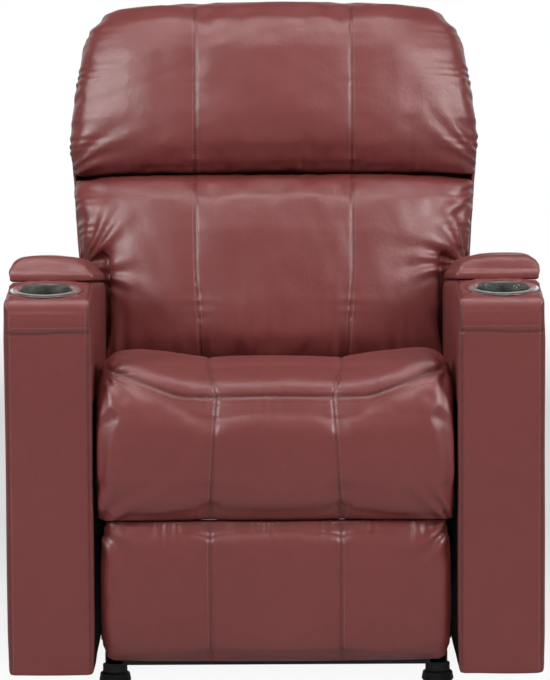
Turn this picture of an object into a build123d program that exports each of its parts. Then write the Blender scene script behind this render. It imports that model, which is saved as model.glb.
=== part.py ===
from build123d import *
from math import atan2, cos, degrees, hypot, pi, radians, sin, sqrt, tan
import os

# Powered cinema recliner seat.  Millimetres, +Z up, the sitter faces -Y.
# The origin is on the floor under the middle of the seat's bounding box.

# ---------------------------------------------------------------- overall sizes
arm_inner_x = 287.5        # half the width between the arms
cup_body_r = 43.5          # the cup sets how wide an arm is
arm_side = 24.0            # arm on each side of the cup
arm_front_y = -465.0
arm_rear_y = 150.0
arm_bottom_z = 24.0        # daylight under the arms
deck_front_z = 621.0       # top of the arm at its front edge
deck_length = 143.0        # front edge to the foot of the arm pad
deck_slope = 5.0           # degrees, rising towards the back
arm_fall = 38.0            # from the arm's front edge down to its rear end
cover_wall = 9.0           # leather and foam over the arm's boards
board = 9.0                # plywood of the arm case
fit_gap = 0.3              # between pieces that touch without pressing
side_gap = 4.5             # between an arm and the moving seat

arm_width = 2 * (cup_body_r + arm_side)
arm_outer_x = arm_inner_x + arm_width
arm_rear_top_z = deck_front_z - arm_fall
deck_rear_y = arm_front_y + deck_length
deck_rear_z = deck_front_z + deck_length * tan(radians(deck_slope))
seat_half = arm_inner_x - side_gap

# ---------------------------------------------------------------- cup holders
cup_out = 5.0              # cup's centre outwards of the arm's middle
cup_y = -390.0
cup_flange = 13.0          # width of the flange round the cup
cup_depth = 78.0
cup_taper = 2.0            # how much smaller the cup is at its bottom, in radius
cup_wall = 1.6
cup_lip = 2.6              # height of the flange's lip

cup_x = arm_inner_x + arm_width / 2 + cup_out
cup_flange_r = cup_body_r + cup_flange

# ---------------------------------------------------------------- arm pads
pad_height = 40.0
pad_shoulder = 30.0
pad_side = 0.5             # how far the pad's sides stay inside the arm's

# ---------------------------------------------------------------- base
foot_r = 25.5
foot_height = 28.0
foot_front_y = -385.0
foot_rear_y = 285.0
rail_width = 30.0
rail_height = 25.0
rail_wall = 2.5
rail_outer_x = 272.0       # outer face of the base rails
rail_front_y = -402.0
rail_rear_y = 302.0
upright_wall = 3.0
upright_width = 40.0
upright_front_y = -165.0
upright_front_top = 200.0
bolt_r = 4.0
bolt_head_r = 7.0
bolt_head_h = 5.0

# ---------------------------------------------------------------- carriage travel
slide_angle = 8.0          # degrees the seat climbs as it runs forwards
slide_travel = 65.0
roller_r = 15.0
roller_width = 10.0
roller_gap = 0.3           # between a roller and each flange of its track
roller_rear = (100.0, 119.0)
roller_spacing = 230.0     # front to rear roller, along Y
track_wall = 3.0
track_inner_x = 256.0
track_end = 22.0           # track beyond the roller's last position

# ---------------------------------------------------------------- mechanism layers, X
sheet = 4.0                # thickness of plates and links
layer_gap = 1.0
plate_x = 250.0            # inner face of the mechanism plate
pin_r = 5.0
pin_gap = 0.05             # running clearance of a pivot, in radius
open_gap = 0.4             # clearance of the two footrest pivots that float
link_width = 24.0
hub_r = 12.0

# ---------------------------------------------------------------- footrest pivots at rest, (Y, Z)
drive_pivot = (-202.97, 326.15)
rear_pivot = (-220.33, 274.10)
knee_pivot = (-117.54, 165.69)
rear_knee = (-133.54, 100.16)
inner_knee = (-126.53, 91.69)
outer_bend = (-209.0, 160.5)
bracket_upper = (-383.55, 240.16)
bracket_lower = (-392.95, 165.87)
torque_tube_r = 11.0
torque_tube_wall = 3.0
lever_r = 35.0
lever_swing = 90.3         # degrees the drive links turn
lever_x = 45.0
lever_play = 1.25          # side play of the lever's pin in the nut's slot

# ---------------------------------------------------------------- recline linkage, (Y, Z)
back_hinge = (175.0, 345.0)
crank_pivot = (35.0, 327.5 - 1.5 * slide_travel)
recline_angle = 40.0
crank_tail_r = 55.0
crank_play = 0.6           # side play of the base pin in the crank's slot

# ---------------------------------------------------------------- seat frame
seat_rail_bottom = 345.0
seat_rail_height = 28.0
seat_rail_width = 30.0
seat_rail_rear_y = 105.0
front_board_y = -415.0
front_board_thick = 20.0
front_board_bottom = 285.0
spring_wire_r = 1.8
spring_count = 4
spring_pitch = 100.0
spring_turns = 6
spring_half_width = 22.0
spring_bends = 5           # straight pieces of wire in each U-turn
tube_r = 12.5
tube_wall = 2.0
tube_front_y = -40.0
tube_rear_y = 85.0
tube_z = 249.5

# ---------------------------------------------------------------- seat cushion
seat_front_y = -468.0
seat_rear_y = 70.0
seat_top_z = 511.0          # crown behind the front edge
seat_fall = 62.0           # from there down to the rear edge
crease_z = 269.0           # where the seat's front border meets the footrest
crease_gap = 5.0
seat_seam_x = 99.0

# ---------------------------------------------------------------- footrest
footrest_bottom_z = 40.0
footrest_front_y = -469.0
board_back_y = -406.0
board_thick = 14.0
footrest_half = seat_half - 2.0
foot_seam_x = 103.0

# ---------------------------------------------------------------- backrest, measured from its hinge
lean = 15.0                # degrees from upright
frame_front = 20.0         # front of the steel back frame, ahead of the hinge
strap = 2.0
shell_wall = 9.0
shell_bottom_w = -60.0
narrow_half = 278.0        # back width between the arms, halved
wing_bottom_w = 100.0
wing_half = 318.0
widest_half = 350.0
widest_w = 448.0
corner_half = 333.0
turn_half = 313.0          # on the round between a corner and the top
top_half = 248.0
crown_w = 718.0
top_drop = 11.0            # from the crown down to the ends of the top edge
turn_drop = 40.0
corner_drop = 103.0
post = 25.0
post_outer_x = 256.0
crease_w = 410.0           # between the lumbar and head pillows
lumbar_bottom_w = 72.0
wing_rise = 49.0           # lumbar pillow over the rear end of the arm's case
back_seam_x = 138.0

top_w = crown_w - top_drop
turn_w = crown_w - turn_drop
corner_w = crown_w - corner_drop
wing_low_z = arm_rear_top_z + wing_rise

os.makedirs("parts", exist_ok=True)


def keep(piece, name):
    """Label a finished piece and write its STEP file."""
    piece.part.label = name
    export_step(piece.part, f"parts/{name}.step")


# ================================================================ helpers
def polar(centre, radius, angle):
    """A (Y, Z) point at an angle that is measured from straight ahead, upwards."""
    return (centre[0] - radius * cos(radians(angle)), centre[1] + radius * sin(radians(angle)))


def bars(points, width):
    """Round-ended bars along a chain of points, for the sketch that is open."""
    for (y0, z0), (y1, z1) in zip(points, points[1:]):
        with Locations(((y0 + y1) / 2, (z0 + z1) / 2)):
            SlotCenterToCenter(hypot(y1 - y0, z1 - z0), width,
                               rotation=degrees(atan2(z1 - z0, y1 - y0)))


def discs(points, radius, mode=Mode.ADD):
    """Equal discs at points of the sketch that is open."""
    with Locations(*points):
        Circle(radius, mode=mode)


def layer(number):
    """Inner face of a link layer, counted inwards from the mechanism plate."""
    return plate_x - (number + 1) * (sheet + layer_gap)


def back_point(v, w):
    """World (Y, Z) of a point v ahead of the back's hinge and w up along the back."""
    s, c = sin(radians(lean)), cos(radians(lean))
    return (back_hinge[0] - v * c + w * s, back_hinge[1] + v * s + w * c)


def back_slice(w):
    """Plane across the back at height w; its Y runs backwards."""
    s, c = sin(radians(lean)), cos(radians(lean))
    y, z = back_point(0, w)
    return Plane(origin=(0, y, z), x_dir=(1, 0, 0), z_dir=(0, s, c))


def back_face(v):
    """Plane along the back, v ahead of the hinge; its Y runs up the back."""
    s, c = sin(radians(lean)), cos(radians(lean))
    y, z = back_point(v, 0)
    return Plane(origin=(0, y, z), x_dir=(1, 0, 0), z_dir=(0, -c, s))


def bow(start, end, rise, steps):
    """Points after start on a shallow curve to end; its middle stands rise to the left."""
    way = (end[0] - start[0], end[1] - start[1])
    long = hypot(*way)
    left = (-way[1] / long, way[0] / long)
    shares = [number / steps for number in range(1, steps + 1)]
    return [(start[0] + way[0] * t + left[0] * rise * 4 * t * (1 - t),
             start[1] + way[1] * t + left[1] * rise * 4 * t * (1 - t)) for t in shares]


def channelled(plane, half, rear, side, front, crown, seam_x):
    """Outline of a pad with a flat rear, round sides and three crowned channels."""
    edge = half - 22
    corners = [(half - 14, -rear), (edge, -side), (seam_x, -front), (-seam_x, -front),
               (-edge, -side), (14 - half, -rear)]
    rises = [18, crown * 0.8, crown, crown * 0.8, 18]
    points = corners[:1]
    for start, end, rise in zip(corners, corners[1:], rises):
        points += bow(start, end, rise, 5)
    with BuildSketch(plane) as outline:
        with BuildLine():
            Polyline(*points, close=True)
        make_face()
    return outline.sketch


def swell(t):
    """Fullness of a stuffed pad along its height: 0 at both ends, 1 in the middle."""
    return sqrt(1 - abs(2 * t - 1) ** 4)


pad_steps = (0.0, 0.04, 0.14, 0.32, 0.5, 0.68, 0.86, 0.96, 1.0)

# ================================================================ base frame
rail_z = foot_height + rail_height / 2
rail_x = rail_outer_x - rail_width / 2

# rectangular tube rails under the two sides
with BuildPart() as base_rails:
    with BuildSketch(Plane.XZ.offset(-rail_rear_y)):
        with Locations((rail_x, rail_z)):
            RectangleRounded(rail_width, rail_height, 3)
            Rectangle(rail_width - 2 * rail_wall, rail_height - 2 * rail_wall, mode=Mode.SUBTRACT)
    extrude(amount=rail_rear_y - rail_front_y)
    mirror(about=Plane.YZ)
keep(base_rails, "base_rails")

# cross tubes between the rails, front and rear
cross_half = rail_outer_x - rail_width
with BuildPart() as base_cross_tubes:
    with BuildSketch(Plane.YZ.offset(-cross_half)):
        with Locations((foot_front_y, rail_z), (foot_rear_y, rail_z)):
            Rectangle(rail_height, rail_height)
            Rectangle(rail_height - 2 * rail_wall, rail_height - 2 * rail_wall, mode=Mode.SUBTRACT)
    extrude(amount=2 * cross_half)
keep(base_cross_tubes, "base_cross_tubes")

# round plastic feet, turned with a waist and a broken lower edge
with BuildPart() as feet:
    with BuildSketch(Plane.XZ):
        with BuildLine():
            Polyline((0, 0), (foot_r - 2, 0), (foot_r, 3), (foot_r - 2, 14), (foot_r - 6, 17),
                     (foot_r - 6, foot_height), (0, foot_height), close=True)
        make_face()
    with Locations((rail_x, foot_front_y), (-rail_x, foot_front_y),
                   (rail_x, foot_rear_y), (-rail_x, foot_rear_y)):
        foot_body = revolve(axis=Axis.Z, mode=Mode.PRIVATE)
        add(foot_body)
keep(feet, "feet")

# ================================================================ recline geometry
slide = (-cos(radians(slide_angle)), sin(radians(slide_angle)))
crank_mid = 90 + slide_angle
crank_arm_r = slide_travel / 2 / tan(radians(recline_angle / 2))
crank_pin_r = crank_arm_r / cos(radians(recline_angle / 2))
base_pin = polar(crank_pivot, crank_pin_r, crank_mid - recline_angle / 2)
tail_angle = -90 - recline_angle / 2
crank_tail = polar(crank_pivot, crank_tail_r, tail_angle)
back_tail = polar(back_hinge, crank_tail_r, tail_angle)
upright_rear_y = base_pin[0]
upright_rear_top = base_pin[1] + 13

# ================================================================ uprights, tracks and bolts
bolt_heights = {upright_front_y: (75.0, 110.0), upright_rear_y: (75.0, 235.0)}
bolt_points = [(y, z) for y, heights in bolt_heights.items() for z in heights]
upright_depth = arm_inner_x - rail_outer_x - 0.2

# channel uprights that carry the tracks and bolt to the arms
with BuildPart() as uprights:
    for centre_y, top in ((upright_front_y, upright_front_top), (upright_rear_y, upright_rear_top)):
        with BuildSketch(Plane.XY.offset(foot_height)):
            with Locations((rail_outer_x + upright_depth / 2, centre_y)):
                Rectangle(upright_depth, upright_width)
            with Locations((rail_outer_x + upright_wall + upright_depth / 2, centre_y)):
                Rectangle(upright_depth, upright_width - 2 * upright_wall, mode=Mode.SUBTRACT)
        extrude(amount=top - foot_height)
    with BuildSketch(Plane.YZ.offset(rail_outer_x)):
        discs(bolt_points, bolt_r)
    extrude(amount=upright_depth, mode=Mode.SUBTRACT)
    with BuildSketch(Plane.YZ.offset(track_inner_x)):
        discs([base_pin], pin_r)
    extrude(amount=rail_outer_x + upright_wall - track_inner_x)
    mirror(about=Plane.YZ)
keep(uprights, "uprights")

roller_front = (roller_rear[0] - roller_spacing,
                roller_rear[1] + roller_spacing * tan(radians(slide_angle)))
track_mid_y = (roller_rear[0] + roller_front[0] + slide_travel * slide[0]) / 2
track_mid_z = roller_rear[1] + (roller_rear[0] - track_mid_y) * tan(radians(slide_angle))
track_length = (roller_rear[0] - roller_front[0] - slide_travel * slide[0] + 2 * track_end) \
    / cos(radians(slide_angle))
track_bore = 2 * (roller_r + roller_gap)

# inclined channel tracks, open towards the seat
with BuildPart() as tracks:
    with BuildSketch(Plane.YZ.offset(track_inner_x)):
        with Locations((track_mid_y, track_mid_z)):
            Rectangle(track_length, track_bore + 2 * track_wall, rotation=-slide_angle)
    extrude(amount=rail_outer_x - track_inner_x)
    with BuildSketch(Plane.YZ.offset(track_inner_x)):
        with Locations((track_mid_y, track_mid_z)):
            Rectangle(track_length + 10, track_bore, rotation=-slide_angle)
    extrude(amount=rail_outer_x - track_inner_x - track_wall, mode=Mode.SUBTRACT)
    mirror(about=Plane.YZ)
keep(tracks, "tracks")

# hexagon bolts that hold each arm on its two uprights
with BuildPart() as arm_bolts:
    with BuildSketch(Plane.YZ.offset(rail_outer_x - bolt_head_h)):
        with Locations(*bolt_points):
            RegularPolygon(bolt_head_r, 6)
    extrude(amount=bolt_head_h)
    with BuildSketch(Plane.YZ.offset(rail_outer_x)):
        discs(bolt_points, bolt_r - 0.2)
    extrude(amount=arm_inner_x - rail_outer_x + cover_wall + board + 4)
    mirror(about=Plane.YZ)
keep(arm_bolts, "arm_bolts")

# ================================================================ arms
cup_z = deck_front_z + (cup_y - arm_front_y) * tan(radians(deck_slope))
cup_plane = Plane(origin=(cup_x, cup_y, cup_z), x_dir=(1, 0, 0),
                  z_dir=(0, -sin(radians(deck_slope)), cos(radians(deck_slope))))
top_slope = (arm_rear_top_z - deck_rear_z) / (arm_rear_y - deck_rear_y)

# control panel on the outside of the sitter's right arm (-X)
panel_y = -215.0
panel_z = 500.0
panel_length = 84.0
panel_height = 52.0
panel_thick = 2.4
panel_recess = 6.0
switch_body = 24.0
button_size = 15.0
button_pitch = 19.0
button_stand = 2.6         # how far a cap stands out of the panel
button_gap = 0.4
button_names = {"button_back_recline": (-1, 1), "button_back_upright": (1, 1),
                "button_foot_extend": (-1, -1), "button_foot_retract": (1, -1)}


def arm_profile(inset):
    """Side outline of an arm, inset from its outside, down to its open bottom."""
    deck_drop = inset / cos(radians(deck_slope))
    top_drop = inset * sqrt(1 + top_slope ** 2)
    y0, y1 = arm_front_y + inset, arm_rear_y - inset
    z0 = deck_front_z - deck_drop + inset * tan(radians(deck_slope))
    z2 = arm_rear_top_z - top_drop - inset * top_slope
    meet_y = deck_rear_y
    meet_z = min(deck_rear_z - deck_drop, deck_rear_z - top_drop)
    Polyline((y0, arm_bottom_z), (y0, z0), (meet_y, meet_z), (y1, z2), (y1, arm_bottom_z), close=True)


def arm_case(inset, wall, deck_open, switch):
    """One open-bottomed arm box: its outside, its cavity and the holes through it."""
    with BuildPart() as case:
        with BuildSketch(Plane.YZ.offset(arm_inner_x + inset)):
            with BuildLine():
                arm_profile(inset)
            make_face()
        extrude(amount=arm_width - 2 * inset)
        if inset == 0:
            front = case.faces().sort_by(Axis.Y)[0]
            fillet(front.edges().sort_by(Axis.Z)[1:], 6)
            deck = case.faces().filter_by(lambda f: f.normal_at().Z > 0.9).sort_by(Axis.Y)[0]
            fillet(deck.edges().filter_by(lambda e: abs(e.tangent_at(0.5).X) < 0.1), 5)
        with BuildSketch(Plane.YZ.offset(arm_inner_x + inset + wall)):
            with BuildLine():
                arm_profile(inset + wall)
            make_face()
        extrude(amount=arm_width - 2 * (inset + wall), mode=Mode.SUBTRACT)
        with BuildSketch(cup_plane.offset(-60)):
            if deck_open:
                Rectangle(arm_width - 2 * (inset + wall), 2 * cup_flange_r)
            else:
                Circle(cup_body_r + fit_gap)
        extrude(amount=80, mode=Mode.SUBTRACT)
        with BuildSketch(Plane.YZ.offset(arm_inner_x - 1)):
            discs(bolt_points, bolt_r)
        extrude(amount=wall + inset + 2, mode=Mode.SUBTRACT)
        if switch:
            with BuildSketch(Plane.YZ.offset(arm_outer_x + 1)):
                with Locations((panel_y, panel_z)):
                    Rectangle(panel_length - 16 + 2 * fit_gap, panel_height - 12 + 2 * fit_gap)
            extrude(amount=-(inset + wall + 3), mode=Mode.SUBTRACT)
            if inset == 0:
                with BuildSketch(Plane.YZ.offset(arm_outer_x + 1)):
                    with Locations((panel_y, panel_z)):
                        RectangleRounded(panel_length + 2 * fit_gap, panel_height + 2 * fit_gap, 8)
                extrude(amount=-(panel_recess + 1), mode=Mode.SUBTRACT)
    return case


def on_side(piece, side):
    """The +X piece itself, or its mirror image for the -X side."""
    if side > 0:
        return piece
    with BuildPart() as other:
        add(piece.part.mirror(Plane.YZ))
    return other


frame_inset = cover_wall + 0.2
for side, word in ((1, "left"), (-1, "right")):
    keep(on_side(arm_case(0, cover_wall, False, side < 0), side), f"arm_cover_{word}")
    keep(on_side(arm_case(frame_inset, board, True, side < 0), side), f"arm_frame_{word}")

# drawn steel cup: flange with a raised lip, wall with a slight taper, broken floor corner
with BuildPart() as cup_holder:
    with BuildSketch(Plane(origin=cup_plane.origin, x_dir=(1, 0, 0),
                           z_dir=cup_plane.y_dir * -1)):
        low_r = cup_body_r - cup_taper
        with BuildLine():
            Polyline((0, -cup_depth), (low_r - 7, -cup_depth), (low_r, -cup_depth + 7),
                     (cup_body_r, 0), (cup_flange_r, 0), (cup_flange_r, 0.9),
                     (cup_flange_r - 4, cup_lip), (cup_body_r + 2, cup_lip),
                     (cup_body_r - cup_wall, 0.6), (low_r - cup_wall, -cup_depth + 7.7),
                     (low_r - 7.7, -cup_depth + cup_wall), (0, -cup_depth + cup_wall), close=True)
        make_face()
    revolve(axis=Axis(cup_plane.origin, cup_plane.z_dir))


# soft arm pad: low at its front, round shoulders, a slight crown
def pad_section(y, height, half):
    base = deck_rear_z + (y - deck_rear_y) * top_slope + fit_gap
    middle = arm_inner_x + arm_width / 2
    round_in = min(pad_shoulder, height * 0.9)
    side_top, top = base + height * 0.12, base + height
    right, left = (middle + half, side_top), (middle - half, side_top)
    shoulders = [(middle + half - round_in, top - 1.5), (middle - half + round_in, top - 1.5)]
    points = [(middle - half, base), (middle + half, base), right]
    points += bow(right, shoulders[0], round_in * 0.24, 5)
    points += bow(shoulders[0], shoulders[1], 1.5, 4)
    points += bow(shoulders[1], left, round_in * 0.24, 5)
    with BuildSketch(Plane.XZ.offset(-y)) as outline:
        with BuildLine():
            Polyline(*points, close=True)
        make_face()
    return outline.sketch


pad_half = arm_width / 2 - pad_side
pad_length = arm_rear_y - deck_rear_y - 8
with BuildPart() as arm_pad:
    ends = [(0, 27, 3), (10, 14, 1), (26, 4, 0), (50, 0, 0), (pad_length - 80, 1, 0),
            (pad_length - 30, 6, 0.5), (pad_length - 8, 15, 2), (pad_length, 26, 4)]
    loft([pad_section(deck_rear_y + 4 + along, pad_height - drop, pad_half - draw)
          for along, drop, draw in ends], ruled=True)

for side, word in ((1, "left"), (-1, "right")):
    keep(on_side(cup_holder, side), f"cup_holder_{word}")
    keep(on_side(arm_pad, side), f"arm_pad_{word}")

# ================================================================ controls
panel_face = arm_outer_x - panel_recess + panel_thick
with BuildPart() as control_switch:
    with BuildSketch(Plane.YZ.offset(-panel_face)):
        with Locations((panel_y, panel_z)):
            RectangleRounded(panel_length, panel_height, 8)
    extrude(amount=panel_thick - 0.1)
    with BuildSketch(Plane.YZ.offset(-panel_face + panel_thick - 0.1)):
        with Locations((panel_y, panel_z)):
            Rectangle(panel_length - 16, panel_height - 12)
    extrude(amount=switch_body)
    with BuildSketch(Plane.YZ.offset(-panel_face)):
        with Locations((panel_y, panel_z)):
            with GridLocations(button_pitch * 1.6, button_pitch, 2, 2):
                RectangleRounded(button_size + 2 * button_gap, button_size + 2 * button_gap, 3)
    extrude(amount=9, mode=Mode.SUBTRACT)
keep(control_switch, "control_switch")

for name, (column, row) in button_names.items():
    with BuildPart() as button:
        with BuildSketch(Plane.YZ.offset(-panel_face - button_stand)):
            with Locations((panel_y + column * button_pitch * 0.8, panel_z + row * button_pitch / 2)):
                RectangleRounded(button_size, button_size, 2.6)
        extrude(amount=button_stand + 6.5)
        cap = button.faces().sort_by(Axis.X)[0]
        chamfer(cap.edges(), 0.8)
    keep(button, name)

# ================================================================ mechanism plates and pins
plate_corner = 20.0
plate_top = seat_rail_bottom + seat_rail_height - 1
with BuildPart() as mechanism_plates:
    with BuildSketch(Plane.YZ.offset(plate_x)):
        with BuildLine():
            Polyline((drive_pivot[0] - 26, plate_top), (back_hinge[0] - 40, plate_top),
                     (back_hinge[0] + 4, back_hinge[1] + plate_corner),
                     (back_hinge[0] + plate_corner, back_hinge[1] - 4),
                     (back_hinge[0] - 10, back_hinge[1] - plate_corner - 4),
                     (roller_rear[0] + 24, roller_rear[1] + 10), (roller_rear[0] + 10, roller_rear[1] - 20),
                     (roller_front[0] - 12, roller_front[1] - 19),
                     (roller_front[0] - 24, roller_front[1] + 8),
                     (rear_pivot[0] - 16, rear_pivot[1] - 14), (drive_pivot[0] - 32, drive_pivot[1]),
                     close=True)
        make_face()
        # lightening windows between the pivots
        with Locations((-110, 262)):
            SlotCenterToCenter(70, 52, rotation=20, mode=Mode.SUBTRACT)
        with Locations((102, 265)):
            SlotCenterToCenter(30, 48, rotation=60, mode=Mode.SUBTRACT)
        with Locations((-10, 178)):
            SlotCenterToCenter(84, 30, rotation=-slide_angle, mode=Mode.SUBTRACT)
        discs([drive_pivot, rear_pivot, roller_rear, roller_front, crank_pivot, back_hinge],
              pin_r, Mode.SUBTRACT)
    extrude(amount=sheet)
    fillet(mechanism_plates.edges().filter_by(Axis.X).filter_by(
        lambda e: e.length < sheet + 0.01 and e.geom_type == GeomType.LINE), 7)
    mirror(about=Plane.YZ)
keep(mechanism_plates, "mechanism_plates")

with BuildPart() as carriage_pins:
    with BuildSketch(Plane.YZ.offset(plate_x)):
        discs([roller_rear, roller_front], pin_r)
    extrude(amount=track_inner_x - plate_x + 1 + roller_width)
    with BuildSketch(Plane.YZ.offset(plate_x)):
        discs([crank_pivot, back_hinge], pin_r)
    extrude(amount=track_inner_x + sheet + 0.5 - plate_x)
    with BuildSketch(Plane.YZ.offset(layer(2) - 3)):
        discs([drive_pivot], pin_r)
    extrude(amount=plate_x + sheet - layer(2) + 3)
    with BuildSketch(Plane.YZ.offset(layer(2) + sheet + 0.3)):
        discs([drive_pivot], pin_r + 4)
    extrude(amount=plate_x - layer(2) - sheet - 0.3)
    with BuildSketch(Plane.YZ.offset(layer(0))):
        discs([rear_pivot], pin_r)
    extrude(amount=plate_x + sheet - layer(0))
    mirror(about=Plane.YZ)
keep(carriage_pins, "carriage_pins")

# nylon rollers with a shallow waist, one pair for each end of the carriage
for centre, name in ((roller_front, "track_rollers_front"), (roller_rear, "track_rollers_rear")):
    with BuildPart() as roller_pair:
        with BuildSketch(Plane.YZ.offset(track_inner_x + 1)):
            discs([centre], roller_r)
            discs([centre], pin_r + pin_gap, Mode.SUBTRACT)
        extrude(amount=roller_width)
        chamfer(roller_pair.edges().filter_by(GeomType.CIRCLE).group_by(SortBy.RADIUS)[-1], 1.2)
        mirror(about=Plane.YZ)
    keep(roller_pair, name)

# ================================================================ seat frame
side_rail_front = front_board_y + front_board_thick
with BuildPart() as seat_side_rails:
    with BuildSketch(Plane.XZ.offset(-seat_rail_rear_y)):
        with Locations((plate_x + sheet + seat_rail_width / 2, seat_rail_bottom + seat_rail_height / 2)):
            Rectangle(seat_rail_width, seat_rail_height)
        with Locations((plate_x + sheet + seat_rail_width / 2 + 1.5,
                        seat_rail_bottom + seat_rail_height / 2 - 1.5)):
            Rectangle(seat_rail_width - 3, seat_rail_height - 3, mode=Mode.SUBTRACT)
    extrude(amount=seat_rail_rear_y - side_rail_front)
    mirror(about=Plane.YZ)
keep(seat_side_rails, "seat_side_rails")

frame_top = seat_rail_bottom + seat_rail_height
with BuildPart() as seat_front_board:
    with BuildSketch(Plane.XZ.offset(-side_rail_front)):
        with Locations((0, (front_board_bottom + frame_top) / 2)):
            Rectangle(2 * (seat_half - 4), frame_top - front_board_bottom)
    extrude(amount=front_board_thick)
    fillet(seat_front_board.edges().filter_by(Axis.X).group_by(Axis.Z)[0], 5)
keep(seat_front_board, "seat_front_board")

with BuildPart() as seat_rear_rail:
    with BuildSketch(Plane.YZ.offset(-plate_x)):
        with Locations((seat_rail_rear_y - tube_r, frame_top - tube_r)):
            Rectangle(2 * tube_r, 2 * tube_r)
            Rectangle(2 * (tube_r - tube_wall), 2 * (tube_r - tube_wall), mode=Mode.SUBTRACT)
    extrude(amount=2 * plate_x)
keep(seat_rear_rail, "seat_rear_rail")

# two round tubes tie the mechanism plates together and carry the drives
with BuildPart() as carriage_tubes:
    with BuildSketch(Plane.YZ.offset(-plate_x)):
        discs([(tube_front_y, tube_z), (tube_rear_y, tube_z)], tube_r)
        discs([(tube_front_y, tube_z), (tube_rear_y, tube_z)], tube_r - tube_wall, Mode.SUBTRACT)
    extrude(amount=2 * plate_x)
keep(carriage_tubes, "carriage_tubes")

# sinuous seat springs, front board to rear rail
spring_z = frame_top + spring_wire_r
spring_run = seat_rail_rear_y - tube_r - side_rail_front + front_board_thick / 2
spring_step = spring_run / (spring_turns + 1)
with BuildPart() as seat_springs:
    for number in range(spring_count):
        x = (number - (spring_count - 1) / 2) * spring_pitch
        start_y = side_rail_front - front_board_thick / 2
        points = []
        for turn in range(spring_turns + 1):
            way = 1 if turn % 2 else -1
            y = start_y + turn * spring_step
            points.append((x - way * spring_half_width, y, spring_z))
            points.append((x + way * spring_half_width, y, spring_z))
            bends = range(1, spring_bends) if turn < spring_turns else ()
            for bend in bends:
                angle = pi * bend / spring_bends
                points.append((x + way * (spring_half_width + spring_step / 2 * sin(angle)),
                               y + spring_step / 2 * (1 - cos(angle)), spring_z))
        with BuildLine() as wire:
            Polyline(*points)
        with BuildSketch(Plane(origin=wire.line @ 0, z_dir=wire.line % 0)):
            RegularPolygon(spring_wire_r, 4)
        sweep(path=wire.line, transition=Transition.RIGHT)
keep(seat_springs, "seat_springs")


# seat cushion: a crowned top that rolls over the front into a border down to the crease
def seat_section(x, top, front):
    low = frame_top + 2 * spring_wire_r + 2
    inner = front_board_y - fit_gap - 0.3
    border = crease_z + crease_gap / 2
    rear_top = top - seat_fall
    corners = [(seat_rear_y, rear_top - 28), (seat_rear_y - 30, rear_top), (front + 96, top - 3),
               (front + 4, top - 84), (front + 7, border + 16), (front + 24, border)]
    points = [(inner, border), (inner, low), (seat_rear_y - 4, low), corners[0]]
    for start, end, rise, steps in zip(corners, corners[1:], (6, 3, 20, 5, 3), (3, 4, 7, 4, 3)):
        points += bow(start, end, rise, steps)
    with BuildSketch(Plane.YZ.offset(x)) as outline:
        with BuildLine():
            Polyline(*points, close=True)
        make_face()
    return outline.sketch


with BuildPart() as seat_cushion:
    half = [(0.0, 1.0, 0.0), (seat_seam_x - 30, 0.0, 1.0), (seat_seam_x, -6.0, 7.0),
            (seat_seam_x + 40, 5.0, 2.0), (seat_half - 60, 13.0, 1.0), (seat_half - 25, 13.0, 3.0),
            (seat_half - 7, 4.0, 8.0), (seat_half, -12.0, 14.0)]
    sides = [(-x, rise, draw) for x, rise, draw in reversed(half[1:])] + half
    loft([seat_section(x, seat_top_z + rise, seat_front_y + draw) for x, rise, draw in sides],
         ruled=True)
keep(seat_cushion, "seat_cushion")

# ================================================================ footrest linkage
hole_r = pin_r + pin_gap
drive_start = lever_swing / 2
lever_pin = polar(drive_pivot, lever_r, -90 - drive_start)

# long bent links on the torque tube; they push the whole linkage out
with BuildPart() as drive_links:
    with BuildSketch(Plane.YZ.offset(layer(2))):
        bars([drive_pivot, knee_pivot, inner_knee], link_width)
        discs([drive_pivot], hub_r + 2)
        discs([drive_pivot], hole_r, Mode.SUBTRACT)
        discs([knee_pivot, inner_knee], pin_r, Mode.SUBTRACT)
    extrude(amount=sheet)
    mirror(about=Plane.YZ)
keep(drive_links, "drive_links")

with BuildPart() as drive_pins:
    with BuildSketch(Plane.YZ.offset(layer(2))):
        discs([knee_pivot], pin_r)
    extrude(amount=layer(1) + sheet - layer(2))
    with BuildSketch(Plane.YZ.offset(layer(3))):
        discs([inner_knee], pin_r)
    extrude(amount=layer(2) + sheet - layer(3))
    mirror(about=Plane.YZ)
keep(drive_pins, "drive_pins")

# cross tube that turns both drive links, with the lever of the footrest drive
with BuildPart() as torque_tube:
    with BuildSketch(Plane.YZ.offset(-layer(2))):
        discs([drive_pivot], torque_tube_r)
        discs([drive_pivot], torque_tube_r - torque_tube_wall, Mode.SUBTRACT)
    extrude(amount=2 * layer(2))
    with BuildSketch(Plane.YZ.offset(lever_x)):
        bars([drive_pivot, lever_pin], 20)
        discs([drive_pivot], torque_tube_r + 5)
        discs([drive_pivot], torque_tube_r - 1, Mode.SUBTRACT)
    extrude(amount=6)
    with BuildSketch(Plane.YZ.offset(lever_x - 12)):
        discs([lever_pin], pin_r)
    extrude(amount=12)
keep(torque_tube, "torque_tube")

with BuildPart() as rear_links:
    with BuildSketch(Plane.YZ.offset(layer(0))):
        bars([rear_pivot, rear_knee], link_width - 2)
        discs([rear_pivot], hole_r, Mode.SUBTRACT)
        discs([rear_knee], pin_r + open_gap, Mode.SUBTRACT)
    extrude(amount=sheet)
    mirror(about=Plane.YZ)
keep(rear_links, "rear_links")

with BuildPart() as outer_links:
    with BuildSketch(Plane.YZ.offset(layer(1))):
        bars([rear_knee, knee_pivot, outer_bend, bracket_upper], link_width)
        discs([knee_pivot], hole_r, Mode.SUBTRACT)
        discs([rear_knee, bracket_upper], pin_r, Mode.SUBTRACT)
    extrude(amount=sheet)
    mirror(about=Plane.YZ)
keep(outer_links, "outer_links")

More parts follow.
